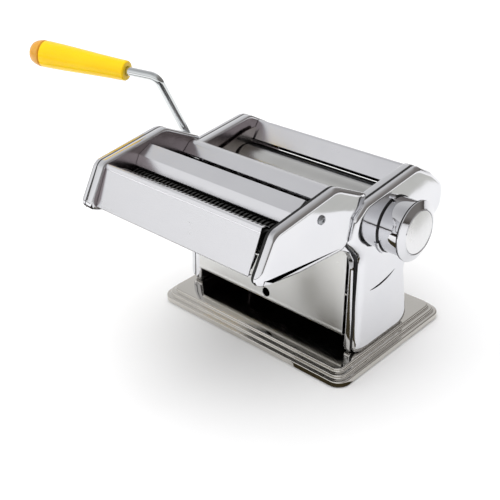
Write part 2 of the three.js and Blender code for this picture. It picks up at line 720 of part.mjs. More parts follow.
// The rear plate carries a pocket on each side that drops over the body's rail.
function pocket() {
  const wall = 1.2;
  const slack = 0.4;
  const back = railNeck.y1 - 1.2;
  const across = (half, y0, y1, z0, z1) => box(railX - half, railX + half, y0, y1, z0, z1);
  return cut(
    across(railHead.half + slack + wall, railHead.y0 - 9, back, 117, railTop + slack + wall),
    across(railHead.half + slack, railHead.y0 - slack, railHead.y1 + slack, 110, railTop + slack),
    across(railNeck.half + slack, railHead.y1, back + 1, 110, railTop + slack),
  );
}

const rearPath = [[-47.8, 138], [-48.6, 134], [-54.6, 114.6]];
const inFront = plate(new THREE.Shape([...rearPath, [-70, 114.6], [-70, 138]].reverse().map(
  ([y, z]) => new THREE.Vector2(y - 0.3, z))), -between, between);
node(cutter, 'cutter_rear_plate', join(
  bentSheet(rearPath, thinSheet, between), cut(pocket(), inFront), cut(mirrored(pocket()), inFront),
), chrome);

// Combs that free the noodles from the grooves, each set off from the roller that it clears.
// a comb's two edges as angles about its roller's axis and distances past the discs' tips
const comb = (axis, edges) => bentSheet(edges.map(([degrees, past]) => {
  const angle = degrees * Math.PI / 180;
  return [axis[0] + (cutterTip + past) * Math.cos(angle), axis[1] + (cutterTip + past) * Math.sin(angle)];
}), 0.8, rollerHalf);
node(cutter, 'thin_comb', comb(thinFront, [[223.4, 10.63], [216.87, 0.9]]), steel);
node(cutter, 'wide_comb', comb(wideRear, [[286.39, 8.12], [301.89, 1]]), steel);

// A cutting roller: discs as wide as the noodle with grooves as wide between them.
function cutterRoller(noodle, startsWithDisc, sides) {
  const side = 0.12;
  const discs = Math.floor((rollerHalf / noodle + (startsWithDisc ? 0.5 : 1)) / 2);
  const profile = [[-rollerHalf, 0], [-rollerHalf, cutterGroove]];
  const count = startsWithDisc ? 2 * discs - 1 : 2 * discs;
  for (let i = 0; i < count; i += 1) {
    const x = (2 * i - count + 0.5) * noodle;
    if (x < -rollerHalf || x + noodle > rollerHalf) continue;
    profile.push([x + side, cutterGroove], [x + side, cutterTip]);
    profile.push([x + noodle - side, cutterTip], [x + noodle - side, cutterGroove]);
  }
  profile.push([rollerHalf, cutterGroove], [rollerHalf, 0]);
  return join(
    turned(profile, sides),
    rodX(cutterJournal, -innerFace - 5, -rollerHalf + 1, 0, 0, 14),
    rodX(cutterJournal, rollerHalf - 1, innerFace + 9.4, 0, 0, 14),
  );
}

const cutterGearStart = innerFace + sheet + 2;
const sleeveStart = -outerFace + 0.6;
const sleeveStop = -innerFace - sheet - 0.4;
const journalStop = -innerFace - 5;
const pairs = [
  { name: 'thin', noodle: thinNoodle, front: thinFront, rear: thinRear, sides: 8 },
  { name: 'wide', noodle: wideNoodle, front: wideFront, rear: wideRear, sides: 12 },
];
for (const pair of pairs) {
  for (const end of ['front', 'rear']) {
    const place = groupAt(cutter, 0, ...pair[end]);
    const isFront = end === 'front';
    node(place, `${pair.name}_${end}_cutter_roller`,
      cutterRoller(pair.noodle, isFront, pair.sides), rollerSteel);
    const facing = isFront ? pairTilt : pairTilt + Math.PI;
    const phase = facing * cutterTeeth / (2 * Math.PI) + (isFront ? 0 : 0.5);
    node(place, `${pair.name}_${end}_cutter_gear`, gear(cutterTeeth, cutterGearTip, cutterGearRoot,
      cutterJournal + air, cutterGearStart, cutterGearStart + cutterGearWidth, phase), steel);
  }
  // A sleeve on the front roller's left end, for the crank.
  node(cutter, `${pair.name}_crank_socket`, cut(
    rodX(cutterSocket, sleeveStart, sleeveStop, 0, 0, 18),
    rodX(cutterJournal + air, journalStop - air, sleeveStop + 1, 0, 0, 18),
    rodX(hexRadius + 0.3, sleeveStart - 1, journalStop, 0, 0, 6),
  ), steel, [0, ...pair.front]);
}

export default machine;
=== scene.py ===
import math

import bmesh
import bpy
from mathutils import Matrix, Vector


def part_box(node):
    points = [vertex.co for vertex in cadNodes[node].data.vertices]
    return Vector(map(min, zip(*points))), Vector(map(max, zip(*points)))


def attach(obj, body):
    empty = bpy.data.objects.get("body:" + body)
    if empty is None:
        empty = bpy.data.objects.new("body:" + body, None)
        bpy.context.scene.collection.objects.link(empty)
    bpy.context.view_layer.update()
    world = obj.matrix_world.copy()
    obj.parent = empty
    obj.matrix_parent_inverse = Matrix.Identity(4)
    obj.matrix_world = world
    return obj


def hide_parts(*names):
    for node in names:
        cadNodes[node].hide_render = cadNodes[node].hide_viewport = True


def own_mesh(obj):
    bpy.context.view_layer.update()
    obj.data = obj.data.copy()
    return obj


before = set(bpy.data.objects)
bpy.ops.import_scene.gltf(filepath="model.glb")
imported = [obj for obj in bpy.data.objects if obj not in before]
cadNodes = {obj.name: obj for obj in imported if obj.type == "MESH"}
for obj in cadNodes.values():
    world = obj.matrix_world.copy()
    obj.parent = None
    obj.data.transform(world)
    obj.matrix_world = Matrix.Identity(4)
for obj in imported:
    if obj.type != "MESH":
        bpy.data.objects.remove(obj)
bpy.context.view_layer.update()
mm = 0.001


def perMm(size):
    # texture scale that makes one repeat this many millimetres long
    return 1000 / size


def toLinear(hexColour):
    parts = [int(hexColour[i:i + 2], 16) / 255 for i in (1, 3, 5)]
    return [p / 12.92 if p <= 0.04045 else ((p + 0.055) / 1.055) ** 2.4 for p in parts] + [1.0]


# ---- camera ----
print("camera")
cameraAt = {
    "place": (422.8, -480.9, 422.0),       # mm
    "right": (0.72435, 0.68826, -0.04036),
    "up": (-0.31582, 0.38328, 0.86796),
    "lens": 63.8,
}
camera = bpy.data.objects.new("camera", bpy.data.cameras.new("camera"))
bpy.context.scene.collection.objects.link(camera)
camera.data.lens = cameraAt["lens"]
camera.data.sensor_width = 36
camera.data.clip_start, camera.data.clip_end = 0.01, 50
rightWay = Vector(cameraAt["right"]).normalized()
upWay = Vector(cameraAt["up"])
upWay = (upWay - rightWay * upWay.dot(rightWay)).normalized()
camera.matrix_world = Matrix((rightWay, upWay, rightWay.cross(upWay))).transposed().to_4x4()
camera.location = Vector(cameraAt["place"]) * mm
bpy.context.scene.camera = camera


# ---- materials ----
print("materials")


def newMaterial(name):
    material = bpy.data.materials.new(name)
    material.use_nodes = True
    tree = material.node_tree
    place = tree.nodes.new("ShaderNodeTexCoord").outputs["Object"]
    return material, tree, tree.nodes["Principled BSDF"], place


def addNode(tree, kind, settings=None, links=None):
    node = tree.nodes.new(kind)
    for key, value in (settings or {}).items():
        if isinstance(key, int) or key in node.inputs:
            node.inputs[key].default_value = value
        else:
            setattr(node, key, value)
    for key, source in (links or {}).items():
        tree.links.new(source, node.inputs[key])
    return node


def colourBetween(tree, factor, low, high):
    mix = addNode(tree, "ShaderNodeMix", {"data_type": "RGBA", 6: toLinear(low), 7: toLinear(high)},
                  {0: factor})
    return mix.outputs[2]


def numberBetween(tree, factor, low, high):
    spread = addNode(tree, "ShaderNodeMapRange", {"To Min": low, "To Max": high}, {"Value": factor})
    return spread.outputs[0]


def noiseOf(tree, place, size, detail, **settings):
    # noise whose blotches are this many millimetres across
    return addNode(tree, "ShaderNodeTexNoise", {"Scale": perMm(size), "Detail": detail, **settings},
                   {"Vector": place}).outputs["Fac"]


def bumpFrom(tree, height, depthMm, normal=None):
    links = {"Height": height, **({"Normal": normal} if normal else {})}
    return addNode(tree, "ShaderNodeBump", {"Strength": 1.0, "Distance": depthMm * mm}, links).outputs[0]


def finishShader(tree, shader, tint, rough, normal, metallic=0.0):
    for socket, source in (("Base Color", tint), ("Roughness", rough), ("Normal", normal)):
        tree.links.new(source, shader.inputs[socket])
    shader.inputs["Metallic"].default_value = metallic


def stampedChrome(name, values):
    # chrome plate on pressed sheet steel: a mirror that wavers a little where the press left
    # the sheet uneven, with faint rub marks and finger haze that soften the reflections
    material, tree, shader, place = newMaterial(name)
    haze = noiseOf(tree, place, values["hazeMm"], 5.0)
    stretched = addNode(tree, "ShaderNodeMapping", {"Scale": values["rubStretch"]}, {"Vector": place})
    rub = noiseOf(tree, stretched.outputs[0], values["rubMm"], 3.0)
    both = addNode(tree, "ShaderNodeMath", {"operation": "MULTIPLY_ADD", 1: 0.35}, {0: rub, 2: haze})
    low, high = values["rough"]
    rough = addNode(tree, "ShaderNodeMapRange",
                    {"From Min": 0.4, "From Max": 1.0, "To Min": low, "To Max": high},
                    {"Value": both.outputs[0]}).outputs[0]
    wave = noiseOf(tree, place, values["waveMm"], 1.0)
    scratched = bumpFrom(tree, rub, values["rubDepth"], bumpFrom(tree, wave, values["waveDepth"]))
    finishShader(tree, shader, colourBetween(tree, haze, *values["colours"]), rough, scratched, 1.0)
    return material


shellChrome = stampedChrome("pressed_chromed_steel", {
    "colours": ("#d9dade", "#e4e4e6"), "rough": (0.035, 0.13), "hazeMm": 38, "rubMm": 2.6,
    "rubStretch": (1.0, 0.25, 1.0), "rubDepth": 0.0006, "waveMm": 26, "waveDepth": 0.10})
plateChrome = stampedChrome("satin_chromed_sheet", {
    "colours": ("#dcdce0", "#ececef"), "rough": (0.17, 0.30), "hazeMm": 30, "rubMm": 1.6,
    "rubStretch": (0.12, 1.0, 1.0), "rubDepth": 0.0010, "waveMm": 60, "waveDepth": 0.06})
chuteChrome = stampedChrome("brushed_chromed_chute", {
    "colours": ("#cfcfcc", "#dddddb"), "rough": (0.26, 0.40), "hazeMm": 34, "rubMm": 1.6,
    "rubStretch": (0.12, 1.0, 1.0), "rubDepth": 0.0010, "waveMm": 60, "waveDepth": 0.06})
baseChrome = stampedChrome("drawn_chromed_base", {
    "colours": ("#c9c6c0", "#d6d3cd"), "rough": (0.05, 0.16), "hazeMm": 45, "rubMm": 3.0,
    "rubStretch": (0.3, 1.0, 1.0), "rubDepth": 0.0008, "waveMm": 34, "waveDepth": 0.12})
knobChrome = stampedChrome("polished_chromed_knob", {
    "colours": ("#d4d5d8", "#dfdfe2"), "rough": (0.02, 0.08), "hazeMm": 14, "rubMm": 1.2,
    "rubStretch": (1.0, 0.5, 0.5), "rubDepth": 0.0004, "waveMm": 9, "waveDepth": 0.05})
faceChrome = stampedChrome("brushed_chromed_disc", {
    "colours": ("#dededf", "#e9e9ea"), "rough": (0.20, 0.30), "hazeMm": 10, "rubMm": 0.6,
    "rubStretch": (1.0, 1.0, 0.05), "rubDepth": 0.0010, "waveMm": 20, "waveDepth": 0.02})
rodChrome = stampedChrome("bright_drawn_rod", {
    "colours": ("#cfd3d4", "#dde0e0"), "rough": (0.03, 0.10), "hazeMm": 18, "rubMm": 0.8,
    "rubStretch": (0.3, 1.0, 0.3), "rubDepth": 0.0006, "waveMm": 14, "waveDepth": 0.04})


def groundSteel(name, values):
    # chromed roller steel, ground on centres: fine rings round the axis that stretch the
    # highlights across it, a little duller than the covers
    material, tree, shader, place = newMaterial(name)
    rings = addNode(tree, "ShaderNodeMapping", {"Scale": (1.0, 0.02, 0.02)}, {"Vector": place})
    # real grinding marks are about 0.05 mm apart, drawn coarser here so that they show
    marks = noiseOf(tree, rings.outputs[0], values["markMm"], 4.0)
    stain = noiseOf(tree, place, 16, 4.0)
    finishShader(tree, shader, colourBetween(tree, stain, *values["colours"]),
                 numberBetween(tree, marks, *values["rough"]), bumpFrom(tree, marks, values["depth"]), 1.0)
    return material


rollerSteel = groundSteel("ground_roller_steel", {
    "colours": ("#c4c4c2", "#d2d2d0"), "rough": (0.16, 0.32), "markMm": 0.5, "depth": 0.002})
cutterSteel = groundSteel("turned_cutter_steel", {
    "colours": ("#c4c4c2", "#d8d8d6"), "rough": (0.10, 0.2), "markMm": 0.3, "depth": 0.001})


def zincPlate(name, values):
    # zinc-plated pressed steel: a bluish dull bright skin with faint blotches
    material, tree, shader, place = newMaterial(name)
    blotch = noiseOf(tree, place, 7, 6.0)
    grain = noiseOf(tree, place, 0.7, 2.0)
    finishShader(tree, shader, colourBetween(tree, blotch, *values["colours"]),
                 numberBetween(tree, blotch, *values["rough"]), bumpFrom(tree, grain, 0.006), 1.0)
    return material


innerSteel = zincPlate("zinc_plated_steel", {"colours": ("#8f9195", "#a9abae"), "rough": (0.26, 0.46)})
# painted shade: a near-black copy of the sheet steel for the insides of folded sheets and the lip over the
# roller slot, where shade falls
insideShadeSteel = zincPlate("painted_shade_sheet_inside", {"colours": ("#1d1c1b", "#2b2a28"), "rough": (0.5, 0.7)})
endSteel = zincPlate("brushed_end_plate", {"colours": ("#8b8284", "#a09698"), "rough": (0.16, 0.3)})
# painted shade: a dark copy of the cutter steel for the cutter rollers that sit in shade under the covers
shadedCutterSteel = zincPlate("painted_shade_cutter_steel", {"colours": ("#343433", "#4a4a48"), "rough": (0.3, 0.45)})
# painted shade: near-black for disc grooves and the cover creases, standing for the shade and dark reflection
# there
grooveShadeSteel = zincPlate("painted_shade_groove_steel", {"colours": ("#0d0d0d", "#191918"), "rough": (0.4, 0.6)})
guardSteel = zincPlate("rolled_guard_steel", {"colours": ("#8c8582", "#a39c98"), "rough": (0.16, 0.32)})
gearSteel = zincPlate("oiled_gear_steel", {"colours": ("#6d6a66", "#86837d"), "rough": (0.3, 0.5)})


def mouldedPlastic(name, values):
    # injection-moulded plastic: glossy, with the slight orange peel of the mould and a little
    # light carried under the skin
    material, tree, shader, place = newMaterial(name)
    cloud = noiseOf(tree, place, values["cloudMm"], 3.0)
    peel = noiseOf(tree, place, values["peelMm"], 2.0)
    finishShader(tree, shader, colourBetween(tree, cloud, *values["colours"]),
                 numberBetween(tree, peel, *values["rough"]), bumpFrom(tree, peel, values["peelDepth"]))
    shader.inputs["IOR"].default_value = values["ior"]
    shader.inputs["Subsurface Weight"].default_value = values["glow"]
    shader.inputs["Subsurface Radius"].default_value = (1.0, 0.45, 0.1)
    shader.inputs["Subsurface Scale"].default_value = 2.5 * mm
    return material


gripPlastic = mouldedPlastic("yellow_moulded_abs", {
    "colours": ("#f7c600", "#fbd404"), "rough": (0.14, 0.24), "cloudMm": 22, "peelMm": 1.4,
    "peelDepth": 0.010, "ior": 1.53, "glow": 0.15})
gripPlastic.node_tree.nodes["Principled BSDF"].inputs["Specular IOR Level"].default_value = 0.3
capPlastic = mouldedPlastic("amber_moulded_abs", {
    "colours": ("#cf9028", "#dea63e"), "rough": (0.16, 0.28), "cloudMm": 9, "peelMm": 1.2,
    "peelDepth": 0.010, "ior": 1.53, "glow": 0.15})
bushNylon = mouldedPlastic("natural_nylon", {
    "colours": ("#dedbd0", "#e8e5da"), "rough": (0.35, 0.5), "cloudMm": 6, "peelMm": 0.8,
    "peelDepth": 0.008, "ior": 1.53, "glow": 0.1})
# painted shadow: a near-black finish for strips and rings put in gaps where there is only shadow
seamShadowBlack = mouldedPlastic("painted_shadow_seam_strip", {
    "colours": ("#060606", "#0b0b0b"), "rough": (0.5, 0.7), "cloudMm": 8, "peelMm": 0.6,
    "peelDepth": 0.02, "ior": 1.52, "glow": 0.0})


def pressedBoard(name):
    # hardboard: pressed brown fibres, dull, finely matted
    material, tree, shader, place = newMaterial(name)
    lie = addNode(tree, "ShaderNodeMapping", {"Scale": (1.0, 0.3, 1.0)}, {"Vector": place})
    fibres = noiseOf(tree, lie.outputs[0], 0.9, 8.0, Distortion=1.2)
    finishShader(tree, shader, colourBetween(tree, fibres, "#4d3420", "#8a6744"),
                 numberBetween(tree, fibres, 0.7, 0.9), bumpFrom(tree, fibres, 0.15))
    return material


def ribbedRubber(name):
    # anti-slip rubber sheet: matt black with a crossed rib every 3 mm
    material, tree, shader, place = newMaterial(name)
    ribs = [addNode(tree, "ShaderNodeTexWave", {"bands_direction": way, "Scale": perMm(3.0) / (2 * math.pi)},
                    {"Vector": place}).outputs["Fac"] for way in ("X", "Y")]
    height = addNode(tree, "ShaderNodeMath", {"operation": "MAXIMUM"}, {0: ribs[0], 1: ribs[1]})
    dust = noiseOf(tree, place, 12, 6.0)
    finishShader(tree, shader, colourBetween(tree, dust, "#151515", "#2b2a29"),
                 numberBetween(tree, dust, 0.75, 0.95), bumpFrom(tree, height.outputs[0], 0.3))
    return material


hardboard = pressedBoard("raw_hardboard")
matRubber = ribbedRubber("anti_slip_rubber")


# ---- shaping helpers, all in millimetres ----
creaseAngle = math.radians(32)     # edges sharper than this stay sharp


def newObject(name, bm):
    mesh = bpy.data.meshes.new(name)
    bm.to_mesh(mesh)
    bm.free()
    made = bpy.data.objects.new(name, mesh)
    bpy.context.scene.collection.objects.link(made)
    return made


def keep(name, bm, material, body, replaced=(), sharpAngle=creaseAngle, others=()):
    # finishes a mesh as a shown piece that moves with a body
    bmesh.ops.recalc_face_normals(bm, faces=bm.faces)
    bmesh.ops.scale(bm, vec=(mm, mm, mm), verts=bm.verts)
    piece = newObject(name, bm)
    piece.data.shade_smooth()
    piece.data.set_sharp_from_angle(angle=sharpAngle)
    for finish in (material, *others):
        piece.data.materials.append(finish)
    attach(piece, body)
    if replaced:
        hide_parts(*replaced)
    return piece


def softEdges(piece, width, segments=3, degrees=35):
    bevel = piece.modifiers.new("soft_edges", "BEVEL")
    bevel.width = width * mm
    bevel.segments = segments
    bevel.limit_method = "ANGLE"
    bevel.angle_limit = math.radians(degrees)
    return piece


def finishMesh(piece):
    # turns the modifiers into plain mesh
    shape = bpy.context.evaluated_depsgraph_get()
    mesh = bpy.data.meshes.new_from_object(piece.evaluated_get(shape))
    piece.modifiers.clear()
    piece.data = mesh
    return piece


def cutWith(piece, bm):
    # takes a closed shape, already in metres, out of a piece
    tool = newObject("cutter_shape", bm)
    step = piece.modifiers.new("cut", "BOOLEAN")
    step.object, step.solver = tool, "EXACT"
    bpy.context.view_layer.update()
    finishMesh(piece)
    bpy.data.objects.remove(tool)


def roundTool(centre, radius, depth, axis, sides):
    bm = bmesh.new()
    place = Matrix.Translation(Vector(centre) * mm) @ Matrix.Rotation(math.pi / 2, 4, axis)
    bmesh.ops.create_cone(bm, cap_ends=True, segments=sides, radius1=radius * mm, radius2=radius * mm,
                          depth=depth * mm, matrix=place)
    return bm


def drill(piece, holes, sides=64):
    # cuts round holes along X: (x0, x1, y, z, radius)
    for x0, x1, y, z, radius in holes:
        cutWith(piece, roundTool(((x0 + x1) / 2, y, z), radius, x1 - x0, "Y", sides))
    piece.data.set_sharp_from_angle(angle=creaseAngle)
    return piece


def roundedOutline(corners, grow=0.0, stepDegrees=4.0):
    # an outline in y and z whose edges move out by grow and whose corners are arcs
    count = len(corners)
    edges = []
    for i, (y, z, radius) in enumerate(corners):
        after = corners[(i + 1) % count]
        along = Vector((after[0] - y, after[1] - z)).normalized()
        edges.append((along, Vector((y, z)) + Vector((along.y, -along.x)) * grow))
    points = []
    for i, corner in enumerate(corners):
        (before, beforeStart), (after, afterStart) = edges[i - 1], edges[i]
        turn = before.x * after.y - before.y * after.x
        gap = afterStart - beforeStart
        tip = beforeStart + before * ((gap.x * after.y - gap.y * after.x) / turn)
        angle = math.atan2(turn, before.dot(after))
        radius = max(corner[2] + math.copysign(grow, angle), 0.4)
        tangent = radius * math.tan(abs(angle) / 2)
        steps = max(2, round(math.degrees(abs(angle)) / stepDegrees))
        first = tip - before * tangent
        centre = first + Vector((-before.y, before.x)) * math.copysign(radius, angle)
        for k in range(steps + 1):
            spin = angle * k / steps
            arm = first - centre
            points.append(centre + Vector((arm.x * math.cos(spin) - arm.y * math.sin(spin),
                                           arm.x * math.sin(spin) + arm.y * math.cos(spin))))
    return points


def loopAt(bm, outline, x):
    return [bm.verts.new((x, p.x, p.y)) for p in outline]


def skin(bm, first, second):
    count = len(first)
    return [bm.faces.new((first[i], first[(i + 1) % count], second[(i + 1) % count], second[i]))
            for i in range(count)]


def skinAll(bm, loops):
    for first, second in zip(loops, loops[1:]):
        skin(bm, first, second)


def mirrorX(bm):
    bmesh.ops.scale(bm, vec=(-1, 1, 1), verts=bm.verts)


def arcPath(corners, radius, steps=6):
    # the points given, with each inner corner turned into an arc
    points = [Vector(corners[0])]
    for i in range(1, len(corners) - 1):
        tip = Vector(corners[i])
        into = tip - Vector(corners[i - 1])
        away = Vector(corners[i + 1]) - tip
        cosine = max(-1.0, min(1.0, into.normalized().dot(away.normalized())))
        half = math.acos(cosine) / 2
        reach = min(radius * math.tan(half), into.length * 0.45, away.length * 0.45)
        start, stop = tip - into.normalized() * reach, tip + away.normalized() * reach
        for k in range(steps + 1):
            t = k / steps
            points.append(start * (1 - t) ** 2 + tip * 2 * t * (1 - t) + stop * t * t)
    points.append(Vector(corners[-1]))
    return points


def bentSheet(name, values, material, body, replaced):
    # sheet metal folded along X, its thickness on the left of the direction of travel
    path = arcPath(values["path"], values.get("fold", 2.0))
    back = []
    for i, point in enumerate(path):
        into = (path[max(i, 1)] - path[max(i, 1) - 1]).normalized()
        last = min(i + 1, len(path) - 1)
        away = (path[last] - path[last - 1]).normalized()
        left = Vector((-into.y - away.y, into.x + away.x)).normalized()
        back.append(point + left * (values["thick"] / left.dot(Vector((-into.y, into.x)))))
    bm = bmesh.new()
    ring = path + back[::-1]
    ends = [loopAt(bm, ring, x) for x in (-values["half"], values["half"])]
    sides = skin(bm, *ends)
    # the inside faces take the second finish, near-black as painted shade inside the machine
    inside = sides[:len(path) - 1] if values.get("outsideIsLeft") else sides[len(path):-1]
    for face in inside:
        face.material_index = 1
    for end in ends:
        for i in range(len(path) - 1):
            bm.faces.new((end[i], end[i + 1], end[-i - 2], end[-i - 1]))
    piece = keep(name, bm, material, body, replaced, others=[insideShadeSteel])
    return softEdges(piece, values.get("edge", 0.18), 2, 50)


def turned(name, profile, material, body, replaced=(), sides=96, place=None, groove=None):
    # a turned piece about X; profile is x and radius along the outline, closed where it ends on
    # its start or on the axis
    bm = bmesh.new()
    closed = profile[0] == profile[-1]
    rows = []
    for x, radius in (profile[:-1] if closed else profile):
        if radius < 1e-6:
            rows.append([bm.verts.new((x, 0, 0))])
        else:
            rows.append([bm.verts.new((x, radius * math.cos(2 * math.pi * k / sides),
                                       radius * math.sin(2 * math.pi * k / sides))) for k in range(sides)])
    pairs = list(zip(rows, rows[1:])) + ([(rows[-1], rows[0])] if closed else [])
    for first, second in pairs:
        if len(first) == 1 and len(second) == 1:
            continue
        for k in range(sides):
            n = (k + 1) % sides
            if len(first) == 1:
                bm.faces.new((first[0], second[k], second[n]))
            elif len(second) == 1:
                bm.faces.new((first[k], second[0], first[n]))
            else:
                bm.faces.new((first[k], second[k], second[n], first[n]))
    for face in bm.faces:
        # the sides and floors of grooves, all below a radius, can have a finish of their own; the disc
        # rollers give them near-black painted shade
        middle = face.calc_center_median()
        if groove and abs(middle.x) < groove["half"] and math.hypot(middle.y, middle.z) < groove["below"]:
            face.material_index = 1
    bmesh.ops.transform(bm, matrix=place or Matrix.Identity(4), verts=bm.verts)
    return keep(name, bm, material, body, replaced, others=[groove["finish"]] if groove else ())


def softProfile(profile, radius=0.5, steps=4):
    # rounds the corners of a turned profile
    corners = [Vector(p) for p in profile]
    closed = (corners[0] - corners[-1]).length < 1e-9
    if closed:
        ring = corners[:-1]
        middle = (ring[0] + ring[1]) / 2
        loop = [middle, *ring[1:], ring[0], middle]
        made = arcPath(loop, radius, steps)
        return [(p.x, p.y) for p in made[:-1]] + [(made[0].x, made[0].y)]
    return [(p.x, p.y) for p in arcPath(corners, radius, steps)]


def sweep(name, centreLine, radius, material, body, replaced=(), sides=32):
    # a round rod along the points given
    bm = bmesh.new()
    rows = []
    normal = None
    for i, point in enumerate(centreLine):
        before, after = centreLine[max(i - 1, 0)], centreLine[min(i + 1, len(centreLine) - 1)]
        along = (after - before).normalized()
        if normal is None:
            normal = along.orthogonal().normalized()
        normal = (normal - along * normal.dot(along)).normalized()
        other = along.cross(normal)
        rows.append([bm.verts.new(point + (normal * math.cos(2 * math.pi * k / sides)
                                           + other * math.sin(2 * math.pi * k / sides)) * radius)
                     for k in range(sides)])
    skinAll(bm, rows)
    bm.faces.new(rows[0][::-1])
    bm.faces.new(rows[-1])
    return keep(name, bm, material, body, replaced)


# ---- sizes from the frame ----
def sizeOf(node):
    low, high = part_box(node)
    return low / mm, high / mm


def axisOf(node):
    # where a round node's axis, which runs along X, crosses the y and z plane
    low, high = sizeOf(node)
    return (low.y + high.y) / 2, (low.z + high.z) / 2


trayInner = sizeOf("right_frame_tray")[0].x
traySeam = sizeOf("right_frame_tray")[1].x
coverSeam = traySeam + 0.3
outerFace = sizeOf("right_side_cover")[1].x
between = sizeOf("front_cover")[1].x
driveLow, driveHigh = sizeOf("drive_roller")
driveAxis = axisOf("drive_roller")
gapLow, gapHigh = sizeOf("adjustable_roller")
gapAxis = axisOf("adjustable_roller")
rollerRadius = (gapHigh.z - gapLow.z) / 2
sheetSteel = 1.2

headOutline = [
    (-31, 140, 7), (-42.6, 134, 3), (-50.6, 111.4, 1.2), (-50.6, 108.2, 1.2), (-33.4, 101.6, 25),
    (-39.4, 12.5, 3), (28.6, 12.5, 3), (21, 67.5, 12), (60, 93.8, 6), (69, 101, 5), (69, 119.5, 8),
    (52, 134.5, 9), (32, 146.4, 12),
]
domeOutline = [
    (-31, 140, 9), (-42, 132, 8), (-47.5, 113, 7), (-33.4, 96, 18),
    (-39.4, 12.5, 6), (28.6, 12.5, 6), (21, 67.5, 12), (60, 93.8, 10), (69, 101, 9), (69, 119.5, 9),
    (52, 134.5, 10), (32, 146.4, 14),
]
cutterOutline = [
    (-144.8, 125.8, 5.5), (-136.6, 121, 8), (-102, 115.3, 20), (-62, 112.8, 20), (-52, 112.8, 6),
    (-44.2, 134, 3), (-24.5, 144.7, 3), (-63.6, 165, 14), (-126, 156.6, 9),
]


# ---- pressed side shells ----
print("side shells")
shell = {"round": 4.6, "steps": 9, "rimRound": 1.9, "rimSteps": 5, "rimLip": 0.25,
         # True is the crank side, False the knob side
         "seamGap": {True: 0.15, False: 1.7}, "stripInset": {True: 1.0, False: 0.45}}


def sideCover(name, outline, isLeft, body, replaced, holes=()):
    # a domed shell: straight at the seam, then rolled over in a quarter round to a flat face
    bm = bmesh.new()
    start = coverSeam + shell["seamGap"][isLeft]
    lip = shell["rimLip"]
    loops = [loopAt(bm, roundedOutline(outline, -lip), start)]
    loops += [loopAt(bm, roundedOutline(outline), x) for x in (start + lip, outerFace - shell["round"])]
    for k in range(1, shell["steps"] + 1):
        turn = math.pi / 2 * k / shell["steps"]
        grow = -shell["round"] * (1 - math.cos(turn))
        x = outerFace - shell["round"] * (1 - math.sin(turn))
        loops.append(loopAt(bm, roundedOutline(outline, grow), x))
    inside = [loopAt(bm, roundedOutline(outline, -sheetSteel), start),
              loopAt(bm, roundedOutline(outline, -sheetSteel), outerFace - shell["round"]),
              loopAt(bm, roundedOutline(outline, -shell["round"]), outerFace - sheetSteel)]
    skinAll(bm, loops)
    bm.faces.new(loops[-1])
    skin(bm, inside[0], loops[0])
    skinAll(bm, inside)
    bm.faces.new(inside[-1][::-1])
    if isLeft:
        mirrorX(bm)
    side = -1 if isLeft else 1
    piece = keep(name, bm, shellChrome, body, replaced)
    if holes:
        drill(piece, [(*sorted((side * 80, side * 100)), *hole) for hole in holes])
    return piece


def sidePan(name, outline, inner, isLeft, body, replaced, holes=()):
    # the pan that the cover closes: a rounded rim at the seam side and on its flat floor
    rim = shell["rimRound"]
    bm = bmesh.new()
    loops = [loopAt(bm, roundedOutline(outline, -rim), trayInner)]
    for k in range(1, shell["rimSteps"] + 1):
        turn = math.pi / 2 * k / shell["rimSteps"]
        loops.append(loopAt(bm, roundedOutline(outline, -rim * (1 - math.sin(turn))),
                            trayInner + rim * (1 - math.cos(turn))))
    loops.append(loopAt(bm, roundedOutline(outline), traySeam - 0.9))
    loops.append(loopAt(bm, roundedOutline(outline, -0.3), traySeam - 0.4))
    skinAll(bm, loops)
    walls = [loopAt(bm, roundedOutline(inner, -sheetSteel), x)
             for x in (traySeam - 0.4, trayInner + sheetSteel)]
    skin(bm, walls[0], walls[1])
    bm.faces.new(loops[0][::-1]).material_index = 1
    bm.faces.new(walls[1]).material_index = 1
    bmesh.ops.bridge_loops(bm, edges=[e for loop in (loops[-1], walls[0]) for e in loopEdges(loop)])
    if isLeft:
        mirrorX(bm)
    side = -1 if isLeft else 1
    piece = keep(name, bm, shellChrome, body, replaced, others=[endSteel])
    if holes:
        drill(piece, [(*sorted((side * 76, side * 84)), *hole) for hole in holes])
    return piece


def loopEdges(loop):
    found = []
    for i, vert in enumerate(loop):
        after = loop[(i + 1) % len(loop)]
        found.append(next(e for e in vert.link_edges if e.other_vert(vert) is after))
    return found


def seamShadowStrip(name, outline, isLeft, body):
    # a black strip of painted shadow in the gap between pan and cover, showing as a thin line
    bm = bmesh.new()
    low, high = traySeam - 0.6, coverSeam + shell["seamGap"][isLeft] + 0.2
    inset = shell["stripInset"][isLeft]
    outer = [loopAt(bm, roundedOutline(outline, -inset), x) for x in (low, high)]
    inner = [loopAt(bm, roundedOutline(outline, -sheetSteel - 0.8), x) for x in (low, high)]
    skin(bm, *outer)
    skin(bm, *inner)
    skin(bm, outer[0], inner[0])
    skin(bm, outer[1], inner[1])
    if isLeft:
        mirrorX(bm)
    return keep(name, bm, seamShadowBlack, body)


cutterAxes = {end: axisOf(f"{end}_cutter_roller")
              for end in ("thin_front", "thin_rear", "wide_front", "wide_rear")}
knobAxis = axisOf("knob")

sideCover("left_cover_shell", domeOutline, True, "frame", ["left_side_cover"], [(*driveAxis, 9.5)])
sideCover("right_cover_shell", domeOutline, False, "frame", ["right_side_cover"], [(*knobAxis, 4.6)])
sideCover("cutter_left_cover_shell", cutterOutline, True, "cutter", ["cutter_left_cover"],
          [(*cutterAxes["thin_front"], 6.6), (*cutterAxes["wide_front"], 6.6)])
sideCover("cutter_right_cover_shell", cutterOutline, False, "cutter", ["cutter_right_cover"])
slotReach = 5.35
